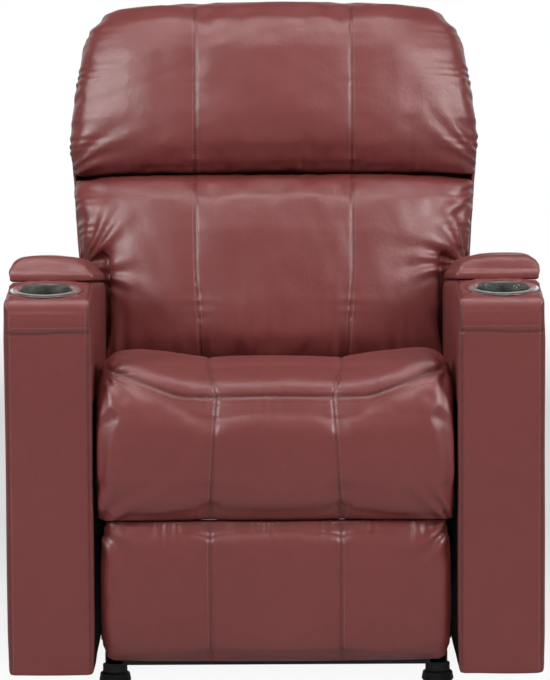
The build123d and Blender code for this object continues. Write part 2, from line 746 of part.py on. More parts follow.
with BuildPart() as outer_pins:
    with BuildSketch(Plane.YZ.offset(layer(1))):
        discs([rear_knee], pin_r)
    extrude(amount=layer(0) + sheet - layer(1))
    with BuildSketch(Plane.YZ.offset(layer(2))):
        discs([bracket_upper], pin_r)
    extrude(amount=layer(1) + sheet - layer(2))
    mirror(about=Plane.YZ)
keep(outer_pins, "outer_pins")

with BuildPart() as inner_links:
    with BuildSketch(Plane.YZ.offset(layer(3))):
        bars([inner_knee, bracket_lower], link_width - 4)
        discs([inner_knee], hole_r, Mode.SUBTRACT)
        discs([bracket_lower], pin_r + open_gap, Mode.SUBTRACT)
    extrude(amount=sheet)
    mirror(about=Plane.YZ)
keep(inner_links, "inner_links")

# angle brackets that hold the footrest board on the ends of the links
flange = 23.0
bracket_low_z = bracket_lower[1] - 34
bracket_high_z = bracket_upper[1] + 14
with BuildPart() as footrest_brackets:
    with BuildSketch(Plane.YZ.offset(layer(2))):
        with BuildLine():
            Polyline((board_back_y, bracket_low_z), (board_back_y, bracket_high_z),
                     (bracket_upper[0] + 6, bracket_high_z), (bracket_upper[0] + hub_r, bracket_upper[1]),
                     (bracket_lower[0] + hub_r, bracket_lower[1] - 6), (board_back_y + 8, bracket_low_z),
                     close=True)
        make_face()
        discs([bracket_upper], hole_r, Mode.SUBTRACT)
        discs([bracket_lower], pin_r, Mode.SUBTRACT)
    extrude(amount=sheet)
    with BuildSketch(Plane.YZ.offset(layer(2) + sheet)):
        with Locations((board_back_y + sheet / 2, (bracket_low_z + bracket_high_z) / 2)):
            Rectangle(sheet, bracket_high_z - bracket_low_z)
    extrude(amount=flange)
    mirror(about=Plane.YZ)
keep(footrest_brackets, "footrest_brackets")

with BuildPart() as footrest_pins:
    with BuildSketch(Plane.YZ.offset(layer(3))):
        discs([bracket_lower], pin_r)
    extrude(amount=layer(2) + sheet - layer(3))
    mirror(about=Plane.YZ)
keep(footrest_pins, "footrest_pins")

pad_top_z = crease_z - crease_gap / 2
with BuildPart() as footrest_board:
    with BuildSketch(Plane.XZ.offset(-board_back_y)):
        with Locations((0, (footrest_bottom_z + pad_top_z) / 2)):
            RectangleRounded(2 * (footrest_half - 10), pad_top_z - footrest_bottom_z - 12, 12)
    extrude(amount=board_thick)
keep(footrest_board, "footrest_board")

# footrest pad with its three channels, rolled at the top and the bottom
pad_rear = board_thick - board_back_y + fit_gap
pad_front = -footrest_front_y
with BuildPart() as footrest_pad:
    rows = []
    for t in pad_steps:
        full = swell(t)
        reach = pad_front - 8 * full - 26 * (1 - full)
        rows.append(channelled(Plane.XY.offset(footrest_bottom_z + t * (pad_top_z - footrest_bottom_z)),
                               footrest_half - 16 * (1 - full), pad_rear, reach - 8, reach,
                               3 + 5 * full, foot_seam_x))
    loft(rows, ruled=True)
keep(footrest_pad, "footrest_pad")

# ================================================================ footrest drive
rail_top = tube_z + tube_r + 20
drive_rail_rear = seat_rail_rear_y
drive_rail_front = -262.0
drive_rail_half = 20.0
with BuildPart() as drive_rail:
    with BuildSketch(Plane.XZ.offset(-drive_rail_rear)):
        with Locations((lever_x - 5, rail_top - 10)):
            Rectangle(2 * drive_rail_half, 20)
        with Locations((lever_x - 5, rail_top - 10 + 3)):
            Rectangle(2 * drive_rail_half - 6, 20, mode=Mode.SUBTRACT)
    extrude(amount=drive_rail_rear - drive_rail_front)
keep(drive_rail, "drive_rail")

nut_length = 44.0
with BuildPart() as drive_nut:
    with BuildSketch(Plane.XZ.offset(-lever_pin[0] - nut_length / 2)):
        with Locations((lever_x - 5, rail_top - 17 + fit_gap + 8)):
            Rectangle(2 * drive_rail_half - 6 - 2 * fit_gap, 16)
        with Locations((lever_x - 5, rail_top - 17 + 8)):
            Circle(6.4, mode=Mode.SUBTRACT)
    extrude(amount=-nut_length)
    with BuildSketch(Plane.YZ.offset(lever_x - 8)):
        low = lever_pin[1] - (lever_r - lever_r * cos(radians(drive_start)))
        with Locations((lever_pin[0], (lever_pin[1] + 12 + rail_top - 3) / 2)):
            Rectangle(34, lever_pin[1] + 15 - rail_top)
        with Locations((lever_pin[0], (lever_pin[1] + low) / 2)):
            SlotCenterToCenter(lever_pin[1] - low + 0.6, 2 * (pin_r + lever_play), rotation=90,
                               mode=Mode.SUBTRACT)
    extrude(amount=6)
keep(drive_nut, "drive_nut")

# gearbox, motor can and lead screw at the rear of the rail
motor_r = 23.0
with BuildPart() as footrest_motor:
    with BuildSketch(Plane.XZ.offset(-drive_rail_rear)):
        with Locations((lever_x - 5, rail_top - 17)):
            RectangleRounded(52, 44, 5)
    extrude(amount=-44)
    with BuildSketch(Plane.XY.offset(rail_top - 39)):
        with Locations((lever_x - 5, drive_rail_rear + 22)):
            Circle(motor_r - 2)
    extrude(amount=-88)
    chamfer(footrest_motor.faces().sort_by(Axis.Z)[0].edges(), 3)
    with BuildSketch(Plane.XZ.offset(-drive_rail_rear)):
        with Locations((lever_x - 5, rail_top - 9)):
            Circle(5.5)
    extrude(amount=drive_rail_rear - drive_rail_front - 12)
keep(footrest_motor, "footrest_motor")

# ================================================================ recline drive
drive_x = -45.0
rod_eye = (tube_front_y, tube_z - 44.0)
rod_r = 6.0
barrel_r = 16.0
barrel_front_y = rod_eye[0] + 40.0
barrel_rear_y = foot_rear_y - 30.0


def along_slide(y):
    """Point of the recline drive's axis at a given Y."""
    return (y, rod_eye[1] - (y - rod_eye[0]) * tan(radians(slide_angle)))


def slide_plane(y):
    """Plane across the recline drive's axis, looking forwards along it."""
    return Plane(origin=(drive_x, *along_slide(y)), x_dir=(1, 0, 0), z_dir=(0, *slide))


# rod with its eye in the clevis under the front carriage tube
with BuildPart() as recline_rod:
    with BuildSketch(slide_plane(barrel_front_y + 120)):
        Circle(rod_r)
    extrude(amount=(120 + 40 - 6) / cos(radians(slide_angle)))
    with BuildSketch(Plane.YZ.offset(drive_x - 7)):
        discs([rod_eye], 11)
        discs([rod_eye], pin_r + pin_gap, Mode.SUBTRACT)
    extrude(amount=14)
keep(recline_rod, "recline_rod")

with BuildPart() as rod_clevis:
    with BuildSketch(Plane.YZ.offset(drive_x - 11.3)):
        bars([(tube_front_y, tube_z - tube_r - 2), rod_eye], 24)
        discs([(tube_front_y, tube_z)], tube_r + 0.05, Mode.SUBTRACT)
    extrude(amount=4)
    with BuildSketch(Plane.YZ.offset(drive_x + 7.3)):
        bars([(tube_front_y, tube_z - tube_r - 2), rod_eye], 24)
        discs([(tube_front_y, tube_z)], tube_r + 0.05, Mode.SUBTRACT)
    extrude(amount=4)
    with BuildSketch(Plane.YZ.offset(drive_x - 11.3)):
        discs([rod_eye], pin_r)
    extrude(amount=22.6)
keep(rod_clevis, "rod_clevis")

barrel_length = (barrel_rear_y - barrel_front_y) / cos(radians(slide_angle))
with BuildPart() as recline_motor:
    with BuildSketch(slide_plane(barrel_rear_y)):
        Circle(barrel_r)
    extrude(amount=barrel_length)
    with BuildSketch(slide_plane(barrel_rear_y)):
        RectangleRounded(50, 44, 5)
    extrude(amount=46)
    with BuildSketch(Plane.XY.offset(along_slide(barrel_rear_y - 23)[1] - 18)):
        with Locations((drive_x, barrel_rear_y - 23)):
            Circle(motor_r - 2)
    extrude(amount=-82)
    chamfer(recline_motor.faces().sort_by(Axis.Z)[0].edges(), 3)
    with BuildSketch(slide_plane(barrel_front_y + 130)):
        Circle(rod_r + 0.5)
    extrude(amount=140, mode=Mode.SUBTRACT)
keep(recline_motor, "recline_motor")

# post on the rear cross tube that takes the drive's thrust
post_top = along_slide(barrel_rear_y)[1] + 14
with BuildPart() as motor_post:
    with BuildSketch(Plane.YZ.offset(drive_x - 20)):
        with BuildLine():
            Polyline((foot_rear_y - 12.5, foot_height + rail_height),
                     (foot_rear_y + 12.5, foot_height + rail_height),
                     (foot_rear_y - 8, post_top), (barrel_rear_y + 2, post_top),
                     (barrel_rear_y + 2, post_top - 34), close=True)
        make_face()
    extrude(amount=40)
    with BuildSketch(Plane.YZ.offset(drive_x - 16)):
        with Locations((foot_rear_y, (post_top + foot_height + rail_height) / 2)):
            Rectangle(90, 60, mode=Mode.ADD)
    extrude(amount=32, mode=Mode.SUBTRACT)
keep(motor_post, "motor_post")

# small socket for the low-voltage lead, on the rear cross tube
inlet_r = 4.0
inlet_depth = 12.0
with BuildPart() as power_inlet:
    with BuildSketch(Plane.XZ.offset(-foot_rear_y - rail_height / 2)):
        with Locations((70, rail_z)):
            RectangleRounded(32, 22, 3)
    extrude(amount=-20)
    with BuildSketch(Plane.XZ.offset(-foot_rear_y - rail_height / 2 - 20)):
        with Locations((70, rail_z)):
            Circle(inlet_r)
    extrude(amount=inlet_depth, mode=Mode.SUBTRACT)
keep(power_inlet, "power_inlet")

# ================================================================ recline cranks and links
slot_from, slot_to = crank_arm_r - 1, crank_pin_r + 1
with BuildPart() as recline_cranks:
    with BuildSketch(Plane.YZ.offset(track_inner_x)):
        arm_angle = crank_mid - recline_angle / 2
        bars([polar(crank_pivot, slot_to, arm_angle), crank_pivot, crank_tail], link_width)
        discs([crank_pivot], hub_r + 3)
        discs([crank_pivot], hole_r, Mode.SUBTRACT)
        discs([crank_tail], pin_r, Mode.SUBTRACT)
        centre = polar(crank_pivot, (slot_from + slot_to) / 2, arm_angle)
        with Locations(centre):
            SlotCenterToCenter(slot_to - slot_from, 2 * (pin_r + crank_play), rotation=-arm_angle,
                               mode=Mode.SUBTRACT)
    extrude(amount=sheet)
    mirror(about=Plane.YZ)
keep(recline_cranks, "recline_cranks")

link_x = track_inner_x + sheet + layer_gap
with BuildPart() as crank_pins:
    with BuildSketch(Plane.YZ.offset(track_inner_x)):
        discs([crank_tail], pin_r)
    extrude(amount=link_x + sheet - track_inner_x)
    mirror(about=Plane.YZ)
keep(crank_pins, "crank_pins")

with BuildPart() as recline_links:
    with BuildSketch(Plane.YZ.offset(link_x)):
        bars([crank_tail, back_tail], link_width - 4)
        discs([crank_tail], hole_r, Mode.SUBTRACT)
        discs([back_tail], pin_r + 0.15, Mode.SUBTRACT)
    extrude(amount=sheet)
    mirror(about=Plane.YZ)
keep(recline_links, "recline_links")

# ================================================================ back frame
frame_mid = frame_front - post / 2
with BuildPart() as back_brackets:
    with BuildSketch(Plane.YZ.offset(track_inner_x)):
        bars([back_tail, back_hinge, back_point(frame_mid, 70), back_point(frame_mid, 165)], link_width)
        discs([back_hinge], hub_r + 3)
        discs([back_hinge], hole_r, Mode.SUBTRACT)
        discs([back_tail], pin_r, Mode.SUBTRACT)
    extrude(amount=sheet)
    mirror(about=Plane.YZ)
keep(back_brackets, "back_brackets")

with BuildPart() as back_pins:
    with BuildSketch(Plane.YZ.offset(track_inner_x)):
        discs([back_tail], pin_r)
    extrude(amount=link_x + sheet - track_inner_x)
    mirror(about=Plane.YZ)
keep(back_pins, "back_pins")

post_x = post_outer_x - post / 2
post_low_w, post_high_w = 42.0, top_w - 27.0
with BuildPart() as back_posts:
    with BuildSketch(back_slice(post_low_w)):
        with Locations((post_x, -frame_mid)):
            Rectangle(post, post)
            Rectangle(post - 4, post - 4, mode=Mode.SUBTRACT)
    extrude(amount=post_high_w - post_low_w)
    mirror(about=Plane.YZ)
keep(back_posts, "back_posts")

# cross rails between the posts, low and high
with BuildPart() as back_rails:
    with BuildSketch(back_face(frame_front)):
        with Locations((0, 80)):
            Rectangle(2 * (post_outer_x - post), post)
        with Locations((0, post_high_w - post / 2)):
            Rectangle(2 * (post_outer_x - post), post)
    extrude(amount=-post)
keep(back_rails, "back_rails")

with BuildPart() as back_straps:
    with BuildSketch(back_face(frame_front)):
        for drop in (75.0, 180.0, 290.0, 395.0, 500.0):
            with Locations((0, post_high_w - drop)):
                Rectangle(2 * post_outer_x, 50)
    extrude(amount=strap)
keep(back_straps, "back_straps")


def half_at(w):
    """Half width of the back at height w: fullest at its widest, round at the top."""
    if w > top_w:
        return top_half - (w - top_w) * 4
    if w > corner_w:
        lift = (w - corner_w) / (top_w - corner_w)
        return top_half + (corner_half - top_half) * sqrt(max(0, 1 - lift ** 2.4))
    if w > widest_w:
        return widest_half - (widest_half - corner_half) * ((w - widest_w) / (corner_w - widest_w)) ** 2
    return widest_half - (widest_half - wing_half) * ((widest_w - w) / (widest_w - wing_bottom_w)) ** 1.2


def back_outline(inset, low_w):
    """Front outline of the back: narrow between the arms, winged above them."""
    waist, wing_w, wing_x = narrow_half - inset, wing_bottom_w + inset, wing_half - inset
    side, corner_x, corner_z = widest_half - inset, corner_half - inset, corner_w - inset
    turn_x, turn_z = turn_half - inset * 0.7, turn_w - inset * 0.7
    top_x, top_z, crown = top_half - inset, top_w - inset, crown_w - inset
    low_mid, high_mid = (wing_bottom_w + widest_w) / 2, (widest_w + corner_w) / 2
    Polyline((-wing_x, wing_w), (-waist, wing_w), (-waist, low_w), (waist, low_w), (waist, wing_w),
             (wing_x, wing_w))
    ThreePointArc((wing_x, wing_w), (half_at(low_mid) - inset, low_mid), (side, widest_w))
    ThreePointArc((side, widest_w), (half_at(high_mid) - inset, high_mid), (corner_x, corner_z))
    ThreePointArc((corner_x, corner_z), (turn_x, turn_z), (top_x, top_z))
    ThreePointArc((top_x, top_z), (0, crown), (-top_x, top_z))
    ThreePointArc((-top_x, top_z), (-turn_x, turn_z), (-corner_x, corner_z))
    ThreePointArc((-corner_x, corner_z), (inset - half_at(high_mid), high_mid), (-side, widest_w))
    ThreePointArc((-side, widest_w), (inset - half_at(low_mid), low_mid), (-wing_x, wing_w))


shell_front = frame_front + strap
shell_round = 26.0
round_steps = [(1.0, 0.0), (0.5, 0.13), (0.13, 0.5), (0.0, 1.0)]
# the back's rear edge is as far behind the seat's middle as the footrest is ahead of it
shell_rear_y = -footrest_front_y + shell_round * sin(radians(lean))
shell_depth = shell_front + (shell_rear_y - back_hinge[0] - crown_w * sin(radians(lean))) / cos(radians(lean))


def shell_body(wall, low_w):
    """Solid with the back's outline, rounded towards its rear, a wall inside its outside."""
    bend = shell_round - wall
    rear_v = shell_front - shell_depth + wall
    levels = [(shell_front, wall)]
    levels += [(rear_v + bend * ahead, wall + bend * draw) for ahead, draw in round_steps]
    for (v0, inset0), (v1, inset1) in zip(levels, levels[1:]):
        ends = []
        for v, inset in ((v0, inset0), (v1, inset1)):
            with BuildSketch(back_face(v)) as outline:
                with BuildLine():
                    back_outline(inset, low_w)
                make_face()
            ends.append(outline.sketch)
        loft(ends, ruled=True)


with BuildPart() as shell_cavity:
    shell_body(shell_wall, shell_bottom_w - 1)
with BuildPart() as back_shell:
    shell_body(0, shell_bottom_w)
    add(shell_cavity.part, mode=Mode.SUBTRACT)
keep(back_shell, "back_shell")

# ================================================================ back pillows
pillow_rear = shell_front + fit_gap


def pillow(low, high, low_edge, high_edge, full_front, pinch):
    """Sections of a back pillow, each across the back at its own height."""
    rows = []
    for t in pad_steps:
        full, w = swell(t), low + t * (high - low)
        edge = low_edge + (high_edge - low_edge) * t
        front = edge + (full_front - edge) * full
        rows.append(channelled(back_slice(w), half_at(w) + 2 - pinch * (1 - full), pillow_rear,
                               front * 0.62 + 10, front, 2 + 8 * full, back_seam_x))
    return rows


with BuildPart() as lumbar_pillow:
    loft(pillow(lumbar_bottom_w, crease_w - 2, 92, 74, 138, 14), ruled=True)
    # below the arm tops it narrows to pass between the arms
    with BuildSketch(Plane.XY.offset(back_hinge[1])):
        with Locations((seat_half + 75, (60 + arm_rear_y + 15) / 2),
                       (-seat_half - 75, (60 + arm_rear_y + 15) / 2)):
            Rectangle(150, arm_rear_y + 15 - 60)
    extrude(amount=wing_low_z - back_hinge[1], mode=Mode.SUBTRACT)
keep(lumbar_pillow, "lumbar_pillow")

with BuildPart() as head_pillow:
    loft(pillow(crease_w + 2, crown_w - 5, 74, 52, 138, 10), ruled=True)
keep(head_pillow, "head_pillow")
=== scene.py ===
from math import cos, pi, radians, sin, tan

import bmesh
import bpy
import numpy as np
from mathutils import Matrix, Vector
from mathutils.bvhtree import BVHTree


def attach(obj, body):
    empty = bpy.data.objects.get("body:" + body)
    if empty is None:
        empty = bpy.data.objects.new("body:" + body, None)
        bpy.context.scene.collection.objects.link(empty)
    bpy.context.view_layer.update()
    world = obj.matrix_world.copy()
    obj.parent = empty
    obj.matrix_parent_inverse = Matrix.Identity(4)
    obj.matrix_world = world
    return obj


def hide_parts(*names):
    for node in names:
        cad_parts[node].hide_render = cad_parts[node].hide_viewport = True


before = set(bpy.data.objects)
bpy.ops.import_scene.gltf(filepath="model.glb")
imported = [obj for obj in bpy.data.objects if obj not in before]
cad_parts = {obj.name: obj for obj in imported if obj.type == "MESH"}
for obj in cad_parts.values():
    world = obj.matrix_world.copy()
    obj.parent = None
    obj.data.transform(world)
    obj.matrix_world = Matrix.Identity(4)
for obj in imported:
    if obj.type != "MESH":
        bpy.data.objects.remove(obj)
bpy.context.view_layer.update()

# ---------------------------------------------------------------------------
# The studio: a pale floor that runs into a white room, a tall soft box at
# each side, plain light from overhead and from the front, and small lamps
# that show only as gleams along the pads and the arms.
scene = bpy.context.scene
scene.view_settings.view_transform = "Standard"


class Shade:
    """One value in a material's nodes, which adds and multiplies like a number."""

    def __init__(self, tree, socket=None):
        self.tree = tree
        self.socket = socket

    def node(self, kind, settings, values, out=0):
        """Any node: its settings first, then the values or links of its sockets."""
        made = self.tree.nodes.new(kind)
        for name, value in settings.items():
            setattr(made, name, value)
        for name, value in values.items():
            if isinstance(value, Shade):
                self.tree.links.new(value.socket, made.inputs[name])
            else:
                made.inputs[name].default_value = value
        return Shade(self.tree, made.outputs[out] if made.outputs else None)

    def sum(self, operation, *values):
        return self.node("ShaderNodeMath", {"operation": operation}, dict(enumerate(values)))

    def __add__(self, other):
        return self.sum("ADD", self, other)

    def __radd__(self, other):
        return self.sum("ADD", other, self)

    def __sub__(self, other):
        return self.sum("SUBTRACT", self, other)

    def __rsub__(self, other):
        return self.sum("SUBTRACT", other, self)

    def __mul__(self, other):
        return self.sum("MULTIPLY", self, other)

    def __rmul__(self, other):
        return self.sum("MULTIPLY", other, self)

    def between(self, low, high):
        """0 below low, 1 above high, and even between."""
        return self.node("ShaderNodeMapRange", {}, {"Value": self, "From Min": low, "From Max": high})

    def noise(self, place, scale, detail=2.0, roughness=0.5):
        return self.node("ShaderNodeTexNoise", {}, {"Vector": place, "Scale": scale, "Detail": detail,
                                                    "Roughness": roughness})

    def blend(self, share, first, second):
        """Two colours mixed by a share from 0 to 1."""
        return self.node("ShaderNodeMix", {"data_type": "RGBA"}, {0: share, 6: first, 7: second}, out=2)

    def bump(self, height, depth, below=None):
        """A normal pushed by a height, depth metres deep, over an earlier bump."""
        values = {"Height": height, "Distance": depth, "Strength": 1.0}
        if below is not None:
            values["Normal"] = below
        return self.node("ShaderNodeBump", {}, values)


def ray(shade, number):
    """1 where the light path is of one kind: 0 camera, 3 glossy, 6 transmission."""
    return shade.node("ShaderNodeLightPath", {}, {}, out=number)


bpy.ops.object.select_all(action="DESELECT")
bpy.ops.mesh.primitive_plane_add(size=14.0, location=(0, 2.0, 0))
floor = bpy.context.object
floor.name = "studio_floor"
floor_paint = bpy.data.materials.new("floor_paint")
floor_paint.use_nodes = True
floor_paint.node_tree.nodes.clear()
paint = Shade(floor_paint.node_tree)
floor_place = paint.node("ShaderNodeTexCoord", {}, {}, out=3)
away = paint.node("ShaderNodeVectorMath", {"operation": "LENGTH"}, {0: floor_place}, out=1)
# the camera sees the floor pale grey near the chair and white further out
seen = paint.sum("MAXIMUM", ray(paint, 0), ray(paint, 6)) * (0.62 + away.between(1.0, 2.6) * 0.38)
matt = paint.node("ShaderNodeBsdfDiffuse", {}, {"Color": (0.46, 0.46, 0.46, 1)})
white = paint.node("ShaderNodeEmission", {}, {"Color": (1, 1, 1, 1), "Strength": 1.0})
both = paint.node("ShaderNodeMixShader", {}, {0: seen + ray(paint, 3) * 0.12, 1: matt, 2: white})
paint.node("ShaderNodeOutputMaterial", {}, {"Surface": both})
floor.data.materials.append(floor_paint)

# the room is white to the camera, and to gloss only low down behind the chair
room = bpy.data.worlds.new("white_room")
scene.world = room
room.use_nodes = True
room.node_tree.nodes.clear()
air = Shade(room.node_tree)
air_way = air.node("ShaderNodeTexCoord", {}, {}, out=0)
air_y = air.node("ShaderNodeSeparateXYZ", {}, {0: air_way}, out=1)
air_z = air.node("ShaderNodeSeparateXYZ", {}, {0: air_way}, out=2)
card = air_y.between(0.25, 0.75) * (1.0 - air_z.between(0.30, 0.62))
ambient = air.node("ShaderNodeBackground", {}, {"Color": (1, 1, 1, 1), "Strength": 0.075})
paper = air.node("ShaderNodeBackground", {}, {"Color": (1, 1, 1, 1), "Strength": 1.0})
whole = air.node("ShaderNodeMixShader", {}, {0: ray(air, 0) + ray(air, 3) * card, 1: ambient, 2: paper})
air.node("ShaderNodeOutputWorld", {}, {"Surface": whole})


def soft_box(name, place, aim, width, height, power, matt=True, gleam=True):
    """A studio lamp behind a white cloth, turned to a point. It lights what is
    matt, shows as a gleam in what is glossy, or both."""
    bpy.ops.object.light_add(type="AREA", location=place)
    lamp = bpy.context.object
    lamp.name = name
    lamp.data.shape = "RECTANGLE"
    lamp.data.size = width
    lamp.data.size_y = height
    lamp.data.energy = power
    lamp.visible_diffuse = matt
    lamp.visible_glossy = gleam
    lamp.rotation_euler = (Vector(aim) - Vector(place)).to_track_quat("-Z", "Y").to_euler()


soft_box("overhead_soft_box", (0, -0.6, 3.4), (0, 0, 0.6), 2.2, 1.0, 40, gleam=False)
soft_box("left_soft_box", (-2.6, -1.9, 2.25), (0, 0, 0.6), 0.7, 1.2, 58)
soft_box("right_soft_box", (2.6, -1.9, 2.25), (0, 0, 0.6), 0.7, 1.2, 58)
soft_box("front_fill", (0, -4.8, 1.9), (0, 0, 0.5), 2.6, 1.2, 46, gleam=False)
soft_box("left_top_gleam", (-0.75, -0.7, 3.2), (-0.35, -0.3, 0.6), 0.6, 0.45, 20, matt=False)
soft_box("right_top_gleam", (0.75, -0.7, 3.2), (0.35, -0.3, 0.6), 0.6, 0.45, 20, matt=False)
soft_box("left_gleam", (-2.4, -1.5, 2.3), (0, 0, 0.7), 0.35, 1.2, 26, matt=False)
soft_box("right_gleam", (2.4, -1.5, 2.3), (0, 0, 0.7), 0.35, 1.2, 26, matt=False)

arm_front_y = -0.465
camera_distance = 6.5            # from the front of the arms
camera_height = 1.354
camera_tilt, camera_roll = radians(83.005), radians(0.3)
bpy.ops.object.camera_add(location=(0, arm_front_y - camera_distance, camera_height),
                          rotation=(camera_tilt, camera_roll, 0))
camera = bpy.context.object
camera.data.sensor_width = 36
camera.data.lens = 222.2
camera.data.shift_x = 3 / 680    # three of the picture's 680 pixels
scene.camera = camera

# ---------------------------------------------------------------------------
# The arms: boards covered with thin foam and leather. A narrow gusset runs up
# each edge of the front, a cross seam joins the cap, the leather is drawn in
# around the cup holder, and near-black lining cloth closes the inner side below
# the seat, its dark colour also painted shade for the gap beside the seat.


def skin_of(node, name, voxel, soften=0):
    """An even net of small squares over a cut form, to be worked like leather."""
    bpy.ops.object.select_all(action="DESELECT")
    piece = bpy.data.objects.new(name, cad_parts[node].data.copy())
    scene.collection.objects.link(piece)
    piece.data.materials.clear()
    bpy.context.view_layer.objects.active = piece
    piece.select_set(True)
    bpy.ops.object.mode_set(mode="EDIT")
    bpy.ops.mesh.select_all(action="SELECT")
    bpy.ops.mesh.remove_doubles(threshold=0.00002)
    bpy.ops.object.mode_set(mode="OBJECT")
    net = piece.modifiers.new("net", "REMESH")
    net.mode = "VOXEL"
    net.voxel_size = voxel
    net.use_smooth_shade = True
    bpy.ops.object.modifier_apply(modifier="net")
    ease(piece, soften)
    return piece


def ease(piece, rounds):
    """Lets the leather relax over small steps."""
    if rounds:
        relax = piece.modifiers.new("relax", "SMOOTH")
        relax.factor = 0.5
        relax.iterations = rounds
        bpy.context.view_layer.objects.active = piece
        bpy.ops.object.modifier_apply(modifier="relax")


def divide(piece):
    """Splits every square of the net in four, rounding as it goes."""
    finer = piece.modifiers.new("finer", "SUBSURF")
    finer.levels = finer.render_levels = 1
    bpy.context.view_layer.objects.active = piece
    bpy.ops.object.modifier_apply(modifier="finer")


def places(piece):
    """A piece's points as rows of x, y, z."""
    flat = np.empty(len(piece.data.vertices) * 3, np.float32)
    piece.data.vertices.foreach_get("co", flat)
    return flat.reshape(-1, 3).astype(float)


def outwards(piece):
    """The way each point's surface faces."""
    flat = np.empty(len(piece.data.vertices) * 3, np.float32)
    piece.data.vertices.foreach_get("normal", flat)
    return flat.reshape(-1, 3).astype(float)


def settle(piece, points):
    """Writes moved points back."""
    piece.data.vertices.foreach_set("co", points.astype(np.float32).ravel())
    piece.data.update()


def ripple(points, size, seed, stretch=(1, 1, 1)):
    """Rounded unevenness from about -1 to 1, with humps about size apart."""
    waves = 8
    chance = np.random.default_rng(seed)
    total = np.zeros(len(points))
    spread = points * np.array(stretch)
    for _ in range(waves):
        way = chance.normal(size=3)
        way /= np.linalg.norm(way)
        wave = spread @ way * 2 * pi / (size * chance.uniform(0.65, 1.5))
        total += np.sin(wave + chance.uniform(0, 2 * pi) + 1.3 * np.sin(wave * 0.37 + seed))
    return total / 3.2


def groove(distance, depth, width):
    """How far a seam draws the leather in, by the distance from it."""
    return -depth * np.exp(-((distance / width) ** 2))


def puckers(distance, along, pitch, height, reach, seed):
    """Short gathers that stand square to a seam and fade away from it."""
    way = np.sin(along * 2 * pi / pitch + 2.2 * np.sin(along * 2 * pi / (pitch * 3.7) + seed))
    swing = 0.55 + 0.45 * np.sin(along * 2 * pi / (pitch * 6.1) + 2.7 * seed)
    return height * way * swing * np.exp(-np.abs(distance) / reach)


def fade(value, low, high):
    """0 below low, 1 above high, and smooth between."""
    part = np.clip((value - low) / (high - low), 0, 1)
    return part * part * (3 - 2 * part)


def note(piece, name, values):
    """Keeps a number for each point, for the finish to read."""
    kept = piece.data.attributes.new(name, "FLOAT", "POINT")
    kept.data.foreach_set("value", np.clip(values, 0, 1).astype(np.float32))


def finish_of(name, metallic=0.0, specular=0.5):
    """An empty finish: its material, its surface node, the start of its sums and
    the place on the piece."""
    made = bpy.data.materials.new(name)
    made.use_nodes = True
    surface = made.node_tree.nodes["Principled BSDF"]
    surface.inputs["Metallic"].default_value = metallic
    surface.inputs["Specular IOR Level"].default_value = specular
    start = Shade(made.node_tree)
    return made, surface, start, start.node("ShaderNodeTexCoord", {}, {}, out=3)


def put(surface, **values):
    """Links a surface's sockets, written with _ for a space."""
    for name, value in values.items():
        surface.id_data.links.new(value.socket, surface.inputs[name.replace("_", " ")])


# Smooth corrected-grain leather: a fine pebble, faint creases, a soft sheen,
# and painted shade that darkens it in the seam grooves and the creases.
hide, hide_surface, grain, hide_place = finish_of("burgundy_leather", specular=0.55)
# the seam number, written on each piece, is high in seam grooves and in creases between pieces
painted_seam_shade = grain.node("ShaderNodeAttribute", {"attribute_name": "seam"}, {}, out=2)
cloud = grain.noise(hide_place, 5.0, 3.0, 0.55)
blotch = grain.noise(hide_place, 34.0, 3.0, 0.6)
pebble = grain.node("ShaderNodeTexVoronoi", {"feature": "SMOOTH_F1"},
                    {"Vector": hide_place, "Scale": 760.0, "Smoothness": 0.5})
crease = grain.noise(hide_place, 120.0, 4.0, 0.65)
tone = grain.blend(cloud * 0.55 + blotch * 0.45, (0.165, 0.0330, 0.0315, 1), (0.232, 0.0530, 0.0500, 1))
tone = grain.blend(pebble * 0.20, tone, (0.115, 0.022, 0.021, 1))
# painted shade: the leather is blended towards near black where the seam number is high
tone = grain.blend(painted_seam_shade * 0.72, tone, (0.040, 0.010, 0.010, 1))
put(hide_surface, Base_Color=tone, Roughness=0.33 + blotch * 0.08 + pebble * 0.05)
put(hide_surface, Normal=grain.bump(crease, 0.00035, grain.bump(pebble * -1.0, 0.00016)))

thread_finish, thread_surface, thread, thread_place = finish_of("bonded_thread", specular=0.35)
thread_ply = thread.noise(thread_place, 1400.0, 2.0)
put(thread_surface, Base_Color=thread.blend(thread_ply, (0.20, 0.070, 0.066, 1), (0.46, 0.21, 0.195, 1)))
put(thread_surface, Roughness=0.5 + thread_ply * 0.2, Normal=thread.bump(thread_ply, 0.0003))


